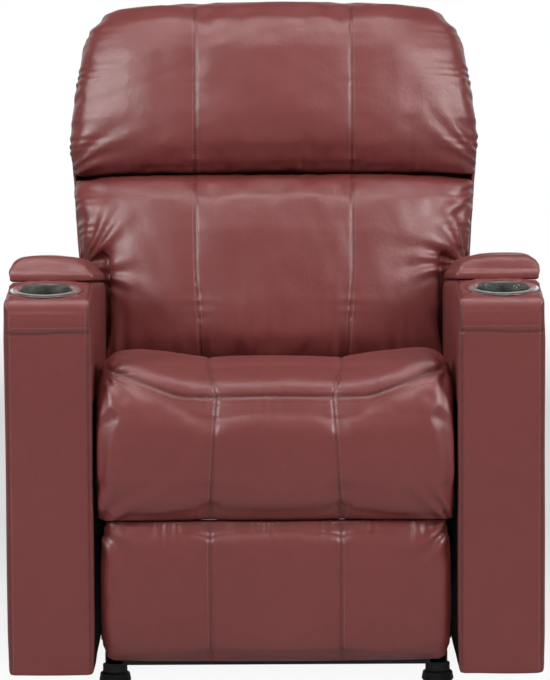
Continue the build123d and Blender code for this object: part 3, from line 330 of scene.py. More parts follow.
def stitches(name, surface, body, routes, towards, pitch=0.0052, half=0.0019, thick=0.00045):
    """Rows of lock stitches laid on a surface. Each route is a list of points
    near it, and towards is the way in which they are dropped on it."""
    tree = BVHTree.FromObject(surface, bpy.context.evaluated_depsgraph_get())
    way = Vector(towards).normalized()
    sides = 5
    points, faces = [], []
    for route in routes:
        line = [Vector(p) for p in route]
        steps = [(b - a).length for a, b in zip(line, line[1:])]
        landed = []
        for number in range(2 * int(sum(steps) / pitch)):
            left = (number + 0.5) * pitch / 2
            place = 0
            while place < len(steps) - 1 and left > steps[place]:
                left -= steps[place]
                place += 1
            start = line[place].lerp(line[place + 1], min(1.0, left / max(steps[place], 1e-9)))
            hit, normal, _, _ = tree.ray_cast(start - way * 0.15, way, 0.4)
            landed.append((hit, normal) if hit is not None else None)
        for one, two in zip(landed[0::2], landed[1::2]):
            if one is None or two is None:
                continue
            middle = (one[0] + two[0]) / 2
            ahead = (two[0] - one[0]).normalized()
            up = (one[1] + two[1]).normalized()
            if (two[0] - one[0]).length > pitch * 1.5 or up.dot(way) > -0.05:
                continue
            side = ahead.cross(up).normalized()
            base = len(points)
            for reach, girth in ((-1.0, 0.35), (-0.7, 0.95), (0.7, 0.95), (1.0, 0.35)):
                for turn in range(sides):
                    angle = 2 * pi * turn / sides
                    points.append(middle + ahead * reach * half + up * thick * 0.35
                                  + (side * cos(angle) + up * sin(angle)) * thick * girth)
            for ring in range(3):
                for turn in range(sides):
                    a, b = base + ring * sides + turn, base + ring * sides + (turn + 1) % sides
                    faces.append((a, b, b + sides, a + sides))
            faces.append(tuple(base + turn for turn in reversed(range(sides))))
            faces.append(tuple(base + 3 * sides + turn for turn in range(sides)))
    mesh = bpy.data.meshes.new(name)
    mesh.from_pydata(points, [], faces)
    outer = bmesh.new()
    outer.from_mesh(mesh)
    bmesh.ops.recalc_face_normals(outer, faces=outer.faces)
    outer.to_mesh(mesh)
    outer.free()
    sewn = bpy.data.objects.new(name, mesh)
    scene.collection.objects.link(sewn)
    sewn.data.materials.append(thread_finish)
    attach(sewn, body)


# coarse black lining cloth on the arm's inner side, below the seat; its near-black colour is also painted
# shade for the gap beside the seat
lining_and_shade, lining_surface, cloth, lining_place = finish_of("black_lining_cloth_and_painted_shade", specular=0.1)
lining_weave = cloth.noise(lining_place, 700.0, 2.0)
# painted shade: the cloth's near-black colour also stands for the shade in the gap beside the seat
put(lining_surface, Base_Color=cloth.blend(lining_weave, (0.006, 0.006, 0.006, 1), (0.016, 0.015, 0.015, 1)))
put(lining_surface, Roughness=0.85 + lining_weave * 0.1, Normal=cloth.bump(lining_weave, 0.0004))

arm_middle, arm_half = 0.355, 0.0675
deck_rear_y = -0.322             # the deck round the cup ends here, and the pad begins
deck_front_z, deck_slope = 0.621, radians(5)
rest_front_z, rest_fall = 0.6335, 0.1070
arm_round = 0.020                # the foam's round over the front's top edge
# the leather's outer faces lie beyond these, and the case's hidden walls within
skin_outer_x, skin_inner_x = 0.4160, 0.2935
skin_front_y, skin_rear_y, skin_depth = -0.4585, 0.1440, 0.006
lining_top, lining_front_y = 0.455, -0.452
cap_seam_z, cap_depth = 0.5685, 0.0020
cap_row = 0.0085                 # from the cap's seam up to its row of stitches
gusset_outer, gusset_inner, gusset_depth = 0.4180, 0.2922, 0.0013
cup_centre = (0.360, -0.390)
cup_bulge, cup_tuck = 0.068, 0.0560    # rings of full and of drawn leather round it
clear_y = -0.50                  # ahead of the whole seat, from where stitches are laid


def arm_top(y):
    """Height of the arm case's top: up behind the cup, then down to the rear."""
    deck = deck_front_z + (y - arm_front_y) * tan(deck_slope)
    return np.where(y < deck_rear_y, deck, rest_front_z - rest_fall * (y - deck_rear_y))


for side, word in ((1, "left"), (-1, "right")):
    cover = skin_of(f"arm_cover_{word}", f"arm_leather_{word}", voxel=0.005, soften=8)
    divide(cover)
    points, normals = places(cover), outwards(cover)
    x, y, z = points[:, 0] * side, points[:, 1], points[:, 2]
    front = fade(-normals[:, 1], 0.35, 0.8)
    flank = fade(np.abs(normals[:, 0]), 0.6, 0.95)
    top = fade(normals[:, 2], 0.5, 0.9)
    walls = np.maximum(front, flank)
    outside = (x > skin_outer_x) | (x < skin_inner_x) | (y < skin_front_y) | (y > skin_rear_y)
    outside |= z > arm_top(y) - skin_depth
    push = np.zeros(len(points))
    # soft crown of the foam on every outer face
    push += 0.0016 * front * (1 - ((x - arm_middle) / arm_half) ** 2)
    push += 0.0014 * flank * fade(z, 0.03, 0.10) * fade(0.60 - z, 0.0, 0.05)
    # cross seam of the cap, with its slack leather above
    seam_z = cap_seam_z + 0.0012 * np.sin((x - 0.29) * 48)
    cross = groove(z - seam_z, cap_depth, 0.0022) * front
    push += cross
    push += 0.0018 * front * np.exp(-(((z - seam_z - 0.016) / 0.014) ** 2))
    push += groove(z - seam_z - cap_row, 0.0006, 0.0016) * front
    push += puckers(z - seam_z, x, 0.017, 0.0003, 0.016, 2.0 + side) * front
    # gusset seams up both edges of the front and over the deck
    edge_line = np.minimum(np.abs(x - gusset_outer), np.abs(x - gusset_inner))
    gusset = groove(edge_line, gusset_depth, 0.0018) * np.maximum(front, top * fade(-y, 0.31, 0.33))
    push += gusset
    push += puckers(edge_line, z, 0.034, 0.0003, 0.010, 5.0 + side) * front
    # the leather is drawn in and gathered round the cup
    across, along = x - cup_centre[0], y - cup_centre[1]
    from_cup = np.hypot(across, along)
    ring = top * fade(0.105 - from_cup, 0, 0.03)
    push += ring * (0.0034 * np.exp(-(((from_cup - cup_bulge) / 0.008) ** 2))
                    - 0.0030 * np.exp(-(((from_cup - cup_tuck) / 0.006) ** 2)))
    round_cup = np.arctan2(along, across)
    push += ring * 0.0007 * np.sin(round_cup * 13 + 1.2 * np.sin(round_cup * 5))
    # shallow waves of leather stretched over the boards
    push += 0.0005 * ripple(points, 0.17, 11 + side, (1, 1, 0.45)) * walls
    push += 0.00022 * ripple(points, 0.045, 21 + side, (1, 1, 0.35)) * walls * fade(z, 0.45, 0.60)
    points += normals * (push * outside)[:, None]
    # the front rolls over into the deck
    ahead = arm_round - (points[:, 1] - arm_front_y)
    above = arm_round - (arm_top(points[:, 1]) - points[:, 2])
    away = np.hypot(ahead, above)
    rolled = outside & (ahead > 0) & (above > 0) & (away > arm_round)
    pull = np.where(rolled, arm_round / np.maximum(away, 1e-9) - 1, 0)
    points[:, 1] -= ahead * pull
    points[:, 2] += above * pull
    settle(cover, points)
    # painted shade in the cap's and the gussets' seam grooves, for the finish to darken
    note(cover, "seam", outside * (-cross / cap_depth * 0.8 - gusset / gusset_depth * 0.7))
    cover.data.materials.append(hide)
    cover.data.materials.append(lining_and_shade)
    # faces on the inner side below the seat take the near-black lining, which is also painted shade for the
    # gap
    for face in cover.data.polygons:
        middle = face.center
        if middle.z < lining_top and middle.x * side < skin_inner_x and middle.y > lining_front_y:
            face.material_index = 1
    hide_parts(f"arm_cover_{word}")
    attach(cover, "base")
    row_z, row_x = cap_seam_z + cap_row, gusset_outer - 0.004
    rows = [[(side * skin_inner_x, clear_y, row_z), (side * 0.4165, clear_y, row_z)],
            [(side * row_x, clear_y, 0.030), (side * row_x, clear_y, 0.600)]]
    stitches(f"arm_stitches_{word}", cover, "base", rows, (0, 1, 0))

# ---------------------------------------------------------------------------
# The arm pads: a soft roll of foam and fibre under leather, low at the front
# behind the cup, with full shoulders and a shallow crown.


def stuff(piece, shrink, cap, pressure=4.0, held=0.0015):
    """Blows a sewn cover up like a filled cushion, by no more than the cap."""
    settle(piece, places(piece) - outwards(piece) * shrink)
    cloth = piece.modifiers.new("filling", "CLOTH")
    cloth.settings.use_pressure = True
    cloth.settings.uniform_pressure_force = pressure
    cloth.settings.effector_weights.gravity = 0
    cloth.settings.quality = 4
    cloth.settings.tension_stiffness = 18
    cloth.settings.compression_stiffness = 18
    cloth.settings.bending_stiffness = 3
    last_frame = 20
    before, facing = places(piece), outwards(piece)
    for number in range(1, last_frame + 1):
        scene.frame_set(number)
    blown = piece.evaluated_get(bpy.context.evaluated_depsgraph_get())
    after = places(blown)
    piece.modifiers.remove(cloth)
    scene.frame_set(1)
    # the cover swells to its cap, and its sewn edges hold their place
    move = after - before
    out = np.sum(move * facing, axis=1)
    slide = move - out[:, None] * facing
    out = np.where(out > 0, cap * np.tanh(out / cap), held * np.tanh(out / held)) + shrink
    length = np.maximum(np.linalg.norm(slide, axis=1), 1e-9)
    slide *= (held * np.tanh(length / held) / length)[:, None]
    settle(piece, before + facing * out[:, None] + slide)


def limit(value, start, reach):
    """Lets a value pass start by no more than reach, easing to it."""
    over = (value - start) / reach
    return np.where(over > 0, start + reach * np.tanh(over), value)


def squircle(across, up, power):
    """How far a square with rounded corners reaches along a direction, from 1 at
    its sides. Power 2 makes it a circle."""
    return (np.abs(across) ** power + np.abs(up) ** power) ** (-1 / power)


def swell(across, up, near, power, foot=0.0):
    """Fills a hollow section out to a full round one, in shares of its half
    width and height. near picks the points that show how hollow it is, and
    what lies below foot stays."""
    angle, away = np.arctan2(up, across), np.hypot(across, up)
    steps = np.linspace(0, pi, 121)
    skin = []
    for step in steps:
        close = near & (np.abs(angle - step) < pi / 110)
        skin.append(np.median(away[close]) if close.sum() > 3 else skin[-1] if skin else 1.0)
    grow = squircle(np.cos(angle), np.sin(angle), power) / np.interp(angle, steps, skin)
    return 1 + (grow - 1) * fade(up, foot * 0.1, foot) if foot else grow


def tallest(along, height, step=0.004):
    """The greatest height near each place along a piece."""
    marks = np.arange(along.min(), along.max() + step, step)
    top = [height[np.abs(along - mark) < step * 1.2].max(initial=0.001) for mark in marks]
    return np.interp(along, marks, top)


def rounded(share, power):
    """Height of an arch's end, from 1 at share 0 down to 0 at share 1."""
    return (1 - np.clip(share, 0, 1) ** power) ** (1 / power)


pad_tall, pad_wide = 0.0400, 0.0668
nose_y, nose_reach = -0.286, 0.034     # from here the pad falls to its front end
tail_y, tail_reach = 0.100, 0.048      # and from here to its rear end
pad_front_y, pad_outer_x, pad_inner_x = -0.3235, 0.4215, 0.2885
full, square = 2.3, 4.2                # how round a section is, by its power
for side, word in ((1, "left"), (-1, "right")):
    pad = skin_of(f"arm_pad_{word}", f"arm_pad_leather_{word}", voxel=0.005, soften=2)
    points = places(pad)
    y = points[:, 1].copy()
    bed_z = arm_top(np.maximum(y, deck_rear_y))
    top = tallest(y, points[:, 2] - bed_z)
    across, up = (points[:, 0] * side - arm_middle) / pad_wide, (points[:, 2] - bed_z) / top
    # square outside, where the pad is flush with the arm, and rounder inside
    middle = (up > 0.06) & (y > -0.26) & (y < 0.08)
    grow = swell(across, up, middle, np.where(across > 0, square, full), 0.10)
    nose = rounded((nose_y - y) / nose_reach, full)
    tail = rounded((y - tail_y) / tail_reach, full)
    # the front end comes out to the full width and forward to the deck
    across /= np.interp(y, (-0.320, -0.290), (0.955, 1.0))
    points[:, 0] = side * (arm_middle + across * grow * pad_wide)
    points[:, 1] -= 0.0035 * fade(-y, 0.300, 0.316)
    tall = np.where(up > 0.02, pad_tall * np.maximum(nose * tail, 0.30), top)
    points[:, 2] = bed_z + up * grow * tall
    settle(pad, points)
    ease(pad, 5)
    stuff(pad, shrink=0.003, cap=0.003)
    divide(pad)
    points, normals = places(pad), outwards(pad)
    x, y = points[:, 0] * side, points[:, 1]
    above = fade(normals[:, 2], -0.1, 0.5)
    height = points[:, 2] - arm_top(np.maximum(y, deck_rear_y))
    push = 0.0010 * ripple(points, 0.13, 31 + side, (1, 0.7, 1)) * above
    # slack leather that lies in low waves across the front roll
    push += 0.0011 * np.sin(y * 2 * pi / 0.034 + 6.0 * (x - arm_middle) + side) * above * fade(-y, 0.20, 0.29)
    rim = np.abs(height - 0.004)
    push += puckers(rim, y, 0.021, 0.0005, 0.010, 3.0 * side) * fade(np.abs(normals[:, 0]), 0.4, 0.9)
    points += normals * push[:, None]
    # the leather runs straight down to the arm at the sides and the nose
    skirt = fade(0.018 - height, 0, 0.008)
    share = (x - arm_middle) / pad_wide
    widen = side * np.sign(share) * np.clip(0.99 - np.abs(share), 0, 0.2) * pad_wide
    points[:, 0] += widen * skirt * fade(np.abs(normals[:, 0]), 0.3, 0.7)
    points[:, 1] -= np.clip(points[:, 1] - pad_front_y, 0, 0.02) * skirt * fade(-normals[:, 1], 0.3, 0.7)
    points[:, 0] = side * limit(limit(points[:, 0] * side, pad_outer_x, 0.0015), pad_inner_x, -0.0010)
    points[:, 2] = np.maximum(points[:, 2], arm_top(np.maximum(points[:, 1], deck_rear_y)) + 0.0003)
    settle(pad, points)
    # painted shade along the pad's foot, where it meets the arm's top
    note(pad, "seam", np.exp(-((height / 0.003) ** 2)) * 0.8)
    pad.data.materials.append(hide)
    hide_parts(f"arm_pad_{word}")
    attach(pad, "base")

# ---------------------------------------------------------------------------
# The cup holders: one drawn steel cup in each arm, with a rolled and polished
# flange that holds the leather down, and painted shade that darkens the steel inside the cup.
cup_finish, cup_surface, cup, cup_place = finish_of("drawn_steel_cup", metallic=1.0)
cup_spun = cup.node("ShaderNodeMapping", {}, {"Vector": cup_place, "Scale": (1.0, 1.0, 30.0)})
cup_lines = cup.noise(cup_spun, 60.0, 3.0, 0.6)
# painted shade: below the flange the steel is painted dark, as the inside of the cup in shade
cup_inner_shade_to_rim = cup.node("ShaderNodeSeparateXYZ", {}, {0: cup_place}, out=2).between(0.612, 0.622)
cup_tone = cup.blend(cup_lines, (0.74, 0.76, 0.72, 1), (0.92, 0.93, 0.90, 1))
put(cup_surface, Base_Color=cup.blend(cup_inner_shade_to_rim, (0.20, 0.23, 0.21, 1), cup_tone))
put(cup_surface, Roughness=0.16 + cup_lines * 0.16, Normal=cup.bump(cup_lines, 0.00003))


def refinish(finish, *names):
    """Gives CAD pieces whose shape is right their real finish."""
    for name in names:
        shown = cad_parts[name]
        shown.data.materials.clear()
        shown.data.materials.append(finish)


refinish(cup_finish, "cup_holder_left", "cup_holder_right")

# ---------------------------------------------------------------------------
# The seat cushion: three sewn channels over a high-resilience foam core, a
# cross seam below the crown with twin-stitched lines above it, and a border
# that tucks in at the crease.


def fan(across, up, count, height, near, reach, seed):
    """Folds that spread from one point, such as a cushion's sewn corner."""
    angle = np.arctan2(up, across)
    away = np.hypot(across, up)
    sway = 1.7 * np.sin(angle * count * 0.31 + seed)
    ridge = np.sin(angle * count + sway + 0.8 * np.sin(away / reach * 3 + seed))
    return height * ridge * np.clip(away / near, 0, 1) * np.exp(-((away / reach) ** 2))


def draw_over(points, from_x, to_x, reach):
    """Slides the leather sideways, so that a seam at from_x comes to lie at to_x."""
    x = points[:, 0]
    points[:, 0] += np.sign(x) * (to_x - from_x) * np.exp(-(((np.abs(x) - from_x) / reach) ** 2))


cross_seam_z, cross_depth = 0.466, 0.0026
long_seam_x, long_depth = 0.0915, 0.0022


def seat_seams(x, z):
    """Height of the cross seam at x, and the long seams' distance from the middle at z."""
    cross = cross_seam_z + 0.040 * fade(np.abs(x), 0.130, 0.275)
    spread = 0.012 * np.clip((cross_seam_z - z) / 0.19, 0, 1) + 0.30 * np.maximum(z - cross_seam_z, 0)
    return cross, long_seam_x + spread


seat = skin_of("seat_cushion", "seat_leather", voxel=0.006, soften=4)
points = places(seat)
x, y, z = points.T
# the front edge is filled out round a line inside the cushion
core_y, core_z, front_y = -0.312, 0.328, -0.4690
edge_power = 3.6
rim = (np.abs(y - core_y) < 0.008) & (z > 0.45)
marks = np.linspace(0, 0.284, 36)
tops = [z[rim & (np.abs(np.abs(x) - mark) < 0.008)].max(initial=0.45) for mark in marks]
crown = np.interp(np.abs(x), marks, tops)
# height of the crown from the middle out to the sides
crown_x = (0, 0.100, 0.150, 0.215, 0.258, 0.274, 0.284)
crown_z = (0.507, 0.508, 0.513, 0.520, 0.520, 0.511, 0.495)
wanted = np.interp(np.abs(x), crown_x, crown_z)
ahead, up = (core_y - y) / (core_y - front_y), (z - core_z) / (crown - core_z)
corner = (ahead > 0) & (up > 0)
reach = np.hypot(ahead, up)
outer = corner & (np.abs(x) < 0.26) & (reach > 0.80)
grow = swell(ahead, np.maximum(up, 0), outer, edge_power)
# the channels are nearly level over the front edge
level = squircle(ahead / reach, up / reach, edge_power) / reach
share = 0.75 * fade(0.268 - np.abs(x), 0, 0.02) * fade(reach, 0.80, 0.88)
grow = grow * (1 - share) + level * share
grow = np.where(corner, 1 + (grow - 1) * fade(reach, 0.62, 0.80), 1)
lift = (wanted - crown) * fade(-y, 0.20, 0.30) * fade(z, 0.44, 0.47)
points[:, 1] = np.where(corner, core_y - ahead * grow * (core_y - front_y), y)
points[:, 2] = np.where(corner, core_z + up * grow * (wanted - core_z), z + lift)
points[:, 1] -= np.where(corner, 0, 0.0095 * fade(-y, 0.44, 0.455) * fade(z, 0.283, core_z))
settle(seat, points)
ease(seat, 5)
stuff(seat, shrink=0.006, cap=0.006)
divide(seat)
ease(seat, 3)
points = places(seat)
draw_over(points, from_x=0.099, to_x=seat_seams(points[:, 0], points[:, 2])[1], reach=0.045)
settle(seat, points)
normals = outwards(seat)
x, y, z = points.T
front = fade(-normals[:, 1], 0.15, 0.6)
upper = fade(normals[:, 2], 0.2, 0.8)
shown = np.maximum(front, upper)
seam_z, long_x = seat_seams(x, z)
before_crown = fade(-y, 0.36, 0.40)
above_border = fade(z, 0.275, 0.290)
# the cross seam, with full leather above it and a shallow dip below
cross_line = groove(z - seam_z, cross_depth, 0.0026) * before_crown * fade(0.276 - np.abs(x), 0, 0.01)
push = cross_line + 0.0030 * np.exp(-(((z - seam_z - 0.016) / 0.012) ** 2)) * before_crown
push -= 0.0015 * np.exp(-(((z - seam_z + 0.010) / 0.012) ** 2)) * front
# the two long seams between the channels
beside = np.abs(np.abs(x) - long_x)
long_line = groove(beside, long_depth, 0.0028) * shown * above_border
push += long_line + groove(beside, 0.0014, 0.014) * shown * above_border
push += puckers(beside, z + y, 0.026, 0.0005, 0.014, 1.4) * shown
push += puckers(z - seam_z, x, 0.024, 0.0006, 0.016, 0.6) * before_crown
push += 0.0013 * ripple(points, 0.14, 61, (1, 1, 1)) * shown
push += 0.0003 * ripple(points, 0.045, 62, (1, 1, 1)) * shown
# folds that spread from the crown's and the border's corners, and gathers at the border
crown_fan = fan(np.abs(x) - 0.270, z - 0.500, 7, 0.0022, 0.012, 0.050, 0.7 + np.sign(x))
border_fan = fan(np.abs(x) - 0.292, z - 0.262, 13, 0.0030, 0.016, 0.085, 2.1 + np.sign(x))
push += crown_fan * fade(-normals[:, 1], -0.2, 0.4)
push += border_fan * front * fade(0.40 - z, 0, 0.06)
push += puckers(z - 0.268, x, 0.021, 0.0013, 0.014, 3.3) * front * fade(0.33 - z, 0, 0.05)
points += normals * push[:, None]
points[:, 0] = limit(limit(points[:, 0], 0.2835, 0.0022), -0.2835, -0.0022)
points[:, 1] = limit(points[:, 1], -0.4670, -0.0120)
# the border's lower edge rolls down on the footrest's
lip = fade(-points[:, 1], 0.425, 0.440) * fade(0.300 - points[:, 2], 0, 0.022)
points[:, 2] -= 0.0100 * lip
points[:, 2] = np.where(lip > 0, limit(points[:, 2], 0.2705, -0.0016), points[:, 2])
settle(seat, points)
# painted shade in the seam grooves, and along the border's lower edge at the crease with the footrest
sewn = -cross_line / cross_depth * 0.85 - long_line / long_depth * 0.45
note(seat, "seam", sewn + fade(0.2725 - z, 0, 0.004) * 0.5)
seat.data.materials.append(hide)
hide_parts("seat_cushion")
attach(seat, "carriage")
# twin rows over the crown, one along the cross seam, and one beside each long seam
twin, beside_long = 0.0042, 0.0040
rows = []
for edge in (-twin, twin):
    for side in (1, -1):
        rows.append([(side * (seat_seams(0, h)[1] + edge), clear_y, h) for h in np.linspace(0.470, 0.505, 5)])
rows.append([(float(at), clear_y, float(seat_seams(at, 0.4)[0]) + twin)
             for at in np.linspace(-0.268, 0.268, 41)])
stitches("seat_stitches", seat, "carriage", rows, (0, 1, -0.35))
rows = [[(side * (seat_seams(0, h)[1] + beside_long), clear_y, h) for h in np.linspace(0.285, 0.460, 9)]
        for side in (1, -1)]
stitches("seat_border_stitches", seat, "carriage", rows, (0, 1, 0))

# ---------------------------------------------------------------------------
# The footrest pad: the same three channels on a board, gathered at its top
# corners where it tucks under the seat's border.
foot_seam_x, foot_depth = 0.103, 0.0024
foot = skin_of("footrest_pad", "footrest_leather", voxel=0.006, soften=6)
stuff(foot, shrink=0.005, cap=0.005)
divide(foot)
ease(foot, 2)
points, normals = places(foot), outwards(foot)
x, z = points[:, 0], points[:, 2]
front = fade(-normals[:, 1], 0.1, 0.6)
below_crease = fade(0.262 - z, 0, 0.012)
beside = np.abs(np.abs(x) - foot_seam_x)
long_line = groove(beside, foot_depth, 0.0028) * front * below_crease
push = long_line + groove(beside, 0.0014, 0.014) * front * below_crease
push += puckers(beside, z, 0.028, 0.0005, 0.014, 2.4) * front
push += 0.0013 * ripple(points, 0.15, 71, (1, 1, 0.7)) * front + 0.0003 * ripple(points, 0.045, 72) * front
push += fan(np.abs(x) - 0.292, z - 0.272, 11, 0.0030, 0.016, 0.080, 1.1 + np.sign(x)) * front
push += puckers(z - 0.264, x, 0.022, 0.0013, 0.016, 0.9) * front
points += normals * push[:, None]
# the pad stays clear of the arms, the seat's border and the board behind it
points[:, 0] = limit(limit(points[:, 0], 0.2825, 0.0026), -0.2825, -0.0026)
lip = fade(-points[:, 1], 0.423, 0.430) * fade(points[:, 2] - 0.250, 0, 0.010)
points[:, 2] = limit(limit(points[:, 2] + 0.0090 * lip, 0.2655, 0.0014), 0.0405, -0.0020)
points[:, 1] = limit(limit(points[:, 1], -0.4680, -0.0100), -0.4212, 0.0008)
settle(foot, points)
# painted shade in the seam grooves, and along the top edge where the pad tucks under the seat
note(foot, "seam", -long_line / foot_depth * 0.45 + fade(z - 0.2585, 0, 0.005) * 0.5)
foot.data.materials.append(hide)
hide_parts("footrest_pad")
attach(foot, "footrest")
row_x = 0.1072
rows = [[(side * row_x, clear_y, 0.060), (side * row_x, clear_y, 0.245)] for side in (1, -1)]
stitches("footrest_stitches", foot, "footrest", rows, (0, 1, 0))

# ---------------------------------------------------------------------------
# The back pillows: fibre-filled leather bags on the steel back, a lumbar one
# that passes between the arms and a head one that overhangs it, each sewn
# into three channels with twin rows of stitching.
hinge_y, hinge_z = 0.175, 0.345
lean_cos, lean_sin = cos(radians(15)), sin(radians(15))
back_crease = 0.410              # height along the back where the pillows meet
back_depth, back_twin = 0.0022, 0.0045     # depth of a long seam, and out to its rows of stitches
pillow_core = 0.25               # the flat middle of a pillow, that keeps its width
# half widths of the pillows at heights up the back
back_heights = (0.230, 0.258, 0.280, 0.318, 0.366, 0.400, 0.458, 0.505, 0.560, 0.640, 0.700)
back_halves = (0.308, 0.321, 0.330, 0.337, 0.341, 0.344, 0.350, 0.348, 0.342, 0.328, 0.303)


def along_back(points):
    """Depth ahead of the back's hinge line and height along the back."""
    dy, dz = points[:, 1] - hinge_y, points[:, 2] - hinge_z
    return -dy * lean_cos + dz * lean_sin, dy * lean_sin + dz * lean_cos


def back_place(x, depth, height):
    """A point by its side, depth and height along the back."""
    return (x, hinge_y - depth * lean_cos + height * lean_sin, hinge_z + depth * lean_sin + height * lean_cos)


def back_seam(height):
    """How far the back's long seams are from the middle, drawn in at the waist."""
    return 0.1335 - 0.0090 * fade(0.26 - height, 0, 0.18)


for node, name, seed, row_low, row_high in (("lumbar_pillow", "lumbar_leather", 3, 0.095, 0.392),
                                            ("head_pillow", "head_leather", 7, 0.428, 0.690)):
    pillow = skin_of(node, name, voxel=0.006, soften=6)
    stuff(pillow, shrink=0.007, cap=0.010)
    divide(pillow)
    ease(pillow, 3)
    points = places(pillow)
    height = along_back(points)[1]
    beyond = np.abs(points[:, 0]) - pillow_core
    widest = tallest(height, beyond, 0.008)
    wanted = np.interp(height, back_heights, back_halves) - pillow_core
    grow = np.clip(wanted / np.maximum(widest, 0.02), 0.9, 1.3)
    points[:, 0] = np.where(beyond > 0, np.sign(points[:, 0]) * (pillow_core + beyond * grow), points[:, 0])
    draw_over(points, from_x=0.138, to_x=back_seam(along_back(points)[1]), reach=0.050)
    settle(pillow, points)
    normals = outwards(pillow)
    x = points[:, 0]
    height = along_back(points)[1]
    ahead = -normals[:, 1] * lean_cos + normals[:, 2] * lean_sin
    front = fade(ahead, 0.0, 0.5)
    beside = np.abs(np.abs(x) - back_seam(height))
    long_line = groove(beside, back_depth, 0.0028) * front
    push = long_line + groove(beside, 0.0011, 0.016) * front
    push += puckers(beside, height, 0.030, 0.0005, 0.018, seed) * front
    push += 0.0016 * ripple(points, 0.20, 80 + seed) * front
    push += 0.0004 * ripple(points, 0.060, 90 + seed) * front
    # gathers that spread from the ends of the crease between the pillows
    crease_fan = fan(np.abs(x) - 0.372, height - back_crease, 15, 0.0030, 0.020, 0.095, seed + np.sign(x))
    push += crease_fan * fade(ahead, -0.1, 0.4)
    push += puckers(height - back_crease, x, 0.026, 0.0012, 0.016, seed + 2) * front
    edge = np.interp(height, back_heights, back_halves) - np.abs(x)
    gathers = puckers(edge, height, 0.017, 0.0018, 0.024, seed + 4) * fade(height, 0.24, 0.30)
    push += gathers * fade(ahead, -0.3, 0.3)
    if node == "lumbar_pillow":
        # folds that run in from where the bag passes between the arms
        waist_fan = fan(np.abs(x) - 0.330, height - 0.250, 13, 0.0032, 0.020, 0.085, 5 + np.sign(x))
        push += waist_fan * fade(ahead, -0.1, 0.4)
        push += puckers(height - 0.085, x, 0.034, 0.0022, 0.050, 1.2) * front
    points += normals * push[:, None]
    settle(pillow, points)
    # painted shade in the seam grooves and along the crease between the pillows
    creased = fade(0.006 - np.abs(height - back_crease), 0, 0.004)
    note(pillow, "seam", -long_line / back_depth * 0.45 + creased * 0.6)
    pillow.data.materials.append(hide)
    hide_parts(node)
    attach(pillow, "backrest")
    rows = [[back_place(side * (float(back_seam(h)) + edge), 0.22, float(h))
             for h in np.linspace(row_low, row_high, 9)]
            for side in (1, -1) for edge in (-back_twin, back_twin)]
    stitches(name.replace("leather", "stitches"), pillow, "backrest", rows, (0, lean_cos, -lean_sin))

# ---------------------------------------------------------------------------
# The back shell: boards and thin foam covered in the same leather, with a
# seam round its rear edge and one across below the crown.
shell_seam, shell_seam_x, shell_depth = 0.560, 0.225, 0.0022
shell = skin_of("back_shell", "back_shell_leather", voxel=0.006, soften=6)
divide(shell)
points, normals = places(shell), outwards(shell)
x = points[:, 0]
height = along_back(points)[1]
rearwards = normals[:, 1] * lean_cos - normals[:, 2] * lean_sin
behind = fade(rearwards, 0.4, 0.9) * fade(points[:, 1] - 0.25, 0, 0.02)
cross = groove(height - shell_seam, shell_depth, 0.0026) * behind
beside = np.abs(np.abs(x) - shell_seam_x)
long_line = groove(beside, shell_depth, 0.0026) * behind * fade(shell_seam - height, 0, 0.004)
push = cross + long_line
push += puckers(height - shell_seam, x, 0.028, 0.0005, 0.014, 1.0) * behind
push += 0.0010 * ripple(points, 0.20, 101)
points += normals * push[:, None]
settle(shell, points)
# painted shade in the seam grooves
note(shell, "seam", -(cross + long_line) / shell_depth * 0.8)
shell.data.materials.append(hide)
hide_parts("back_shell")
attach(shell, "backrest")

# ---------------------------------------------------------------------------
# The steel mechanism: plates, links, rails and tubes of cut and bent steel,
# sprayed with a black powder coat that has a fine orange peel and some dust.
coat_finish, coat_surface, coat, coat_place = finish_of("black_powder_coat", specular=0.4)
coat_peel = coat.noise(coat_place, 500.0, 3.0)
coat_dust = coat.noise(coat_place, 9.0, 4.0)
put(coat_surface, Base_Color=coat.blend(coat_dust, (0.010, 0.010, 0.011, 1), (0.032, 0.031, 0.030, 1)))
put(coat_surface, Roughness=0.38 + coat_dust * 0.22, Normal=coat.bump(coat_peel, 0.0002))
refinish(coat_finish, "base_rails", "base_cross_tubes", "uprights", "tracks", "mechanism_plates",
         "seat_side_rails", "seat_rear_rail", "carriage_tubes", "drive_links", "torque_tube",
         "rear_links", "outer_links", "inner_links", "footrest_brackets", "recline_cranks",
         "recline_links", "back_brackets", "back_posts", "back_rails", "drive_rail", "rod_clevis",
         "motor_post")

# ---------------------------------------------------------------------------
# The pins, rod, springs and bolts: turned or drawn steel, plated with zinc
# that is slightly clouded.
zinc_finish, zinc_surface, zinc, zinc_place = finish_of("zinc_plate", metallic=1.0)
zinc_cloud = zinc.noise(zinc_place, 140.0, 4.0, 0.6)
put(zinc_surface, Base_Color=zinc.blend(zinc_cloud, (0.42, 0.43, 0.42, 1), (0.68, 0.68, 0.66, 1)))
put(zinc_surface, Roughness=0.24 + zinc_cloud * 0.26, Normal=zinc.bump(zinc_cloud, 0.0001))
refinish(zinc_finish, "arm_bolts", "carriage_pins", "seat_springs", "crank_pins", "back_pins", "drive_pins",
         "outer_pins", "footrest_pins", "recline_rod")

# ---------------------------------------------------------------------------
# The feet, motor housings, power socket and control panel: moulded in black
# plastic with a fine grain.
plastic_finish, plastic_surface, plastic, plastic_place = finish_of("black_moulded_plastic", specular=0.4)
plastic_grain = plastic.noise(plastic_place, 900.0, 2.0)
plastic_cloud = plastic.noise(plastic_place, 14.0, 3.0)
plastic_tone = plastic.blend(plastic_cloud, (0.008, 0.008, 0.009, 1), (0.022, 0.021, 0.021, 1))
put(plastic_surface, Base_Color=plastic_tone)
put(plastic_surface, Roughness=0.36 + plastic_grain * 0.2, Normal=plastic.bump(plastic_grain, 0.00015))
refinish(plastic_finish, "feet", "control_switch", "footrest_motor", "recline_motor", "power_inlet")

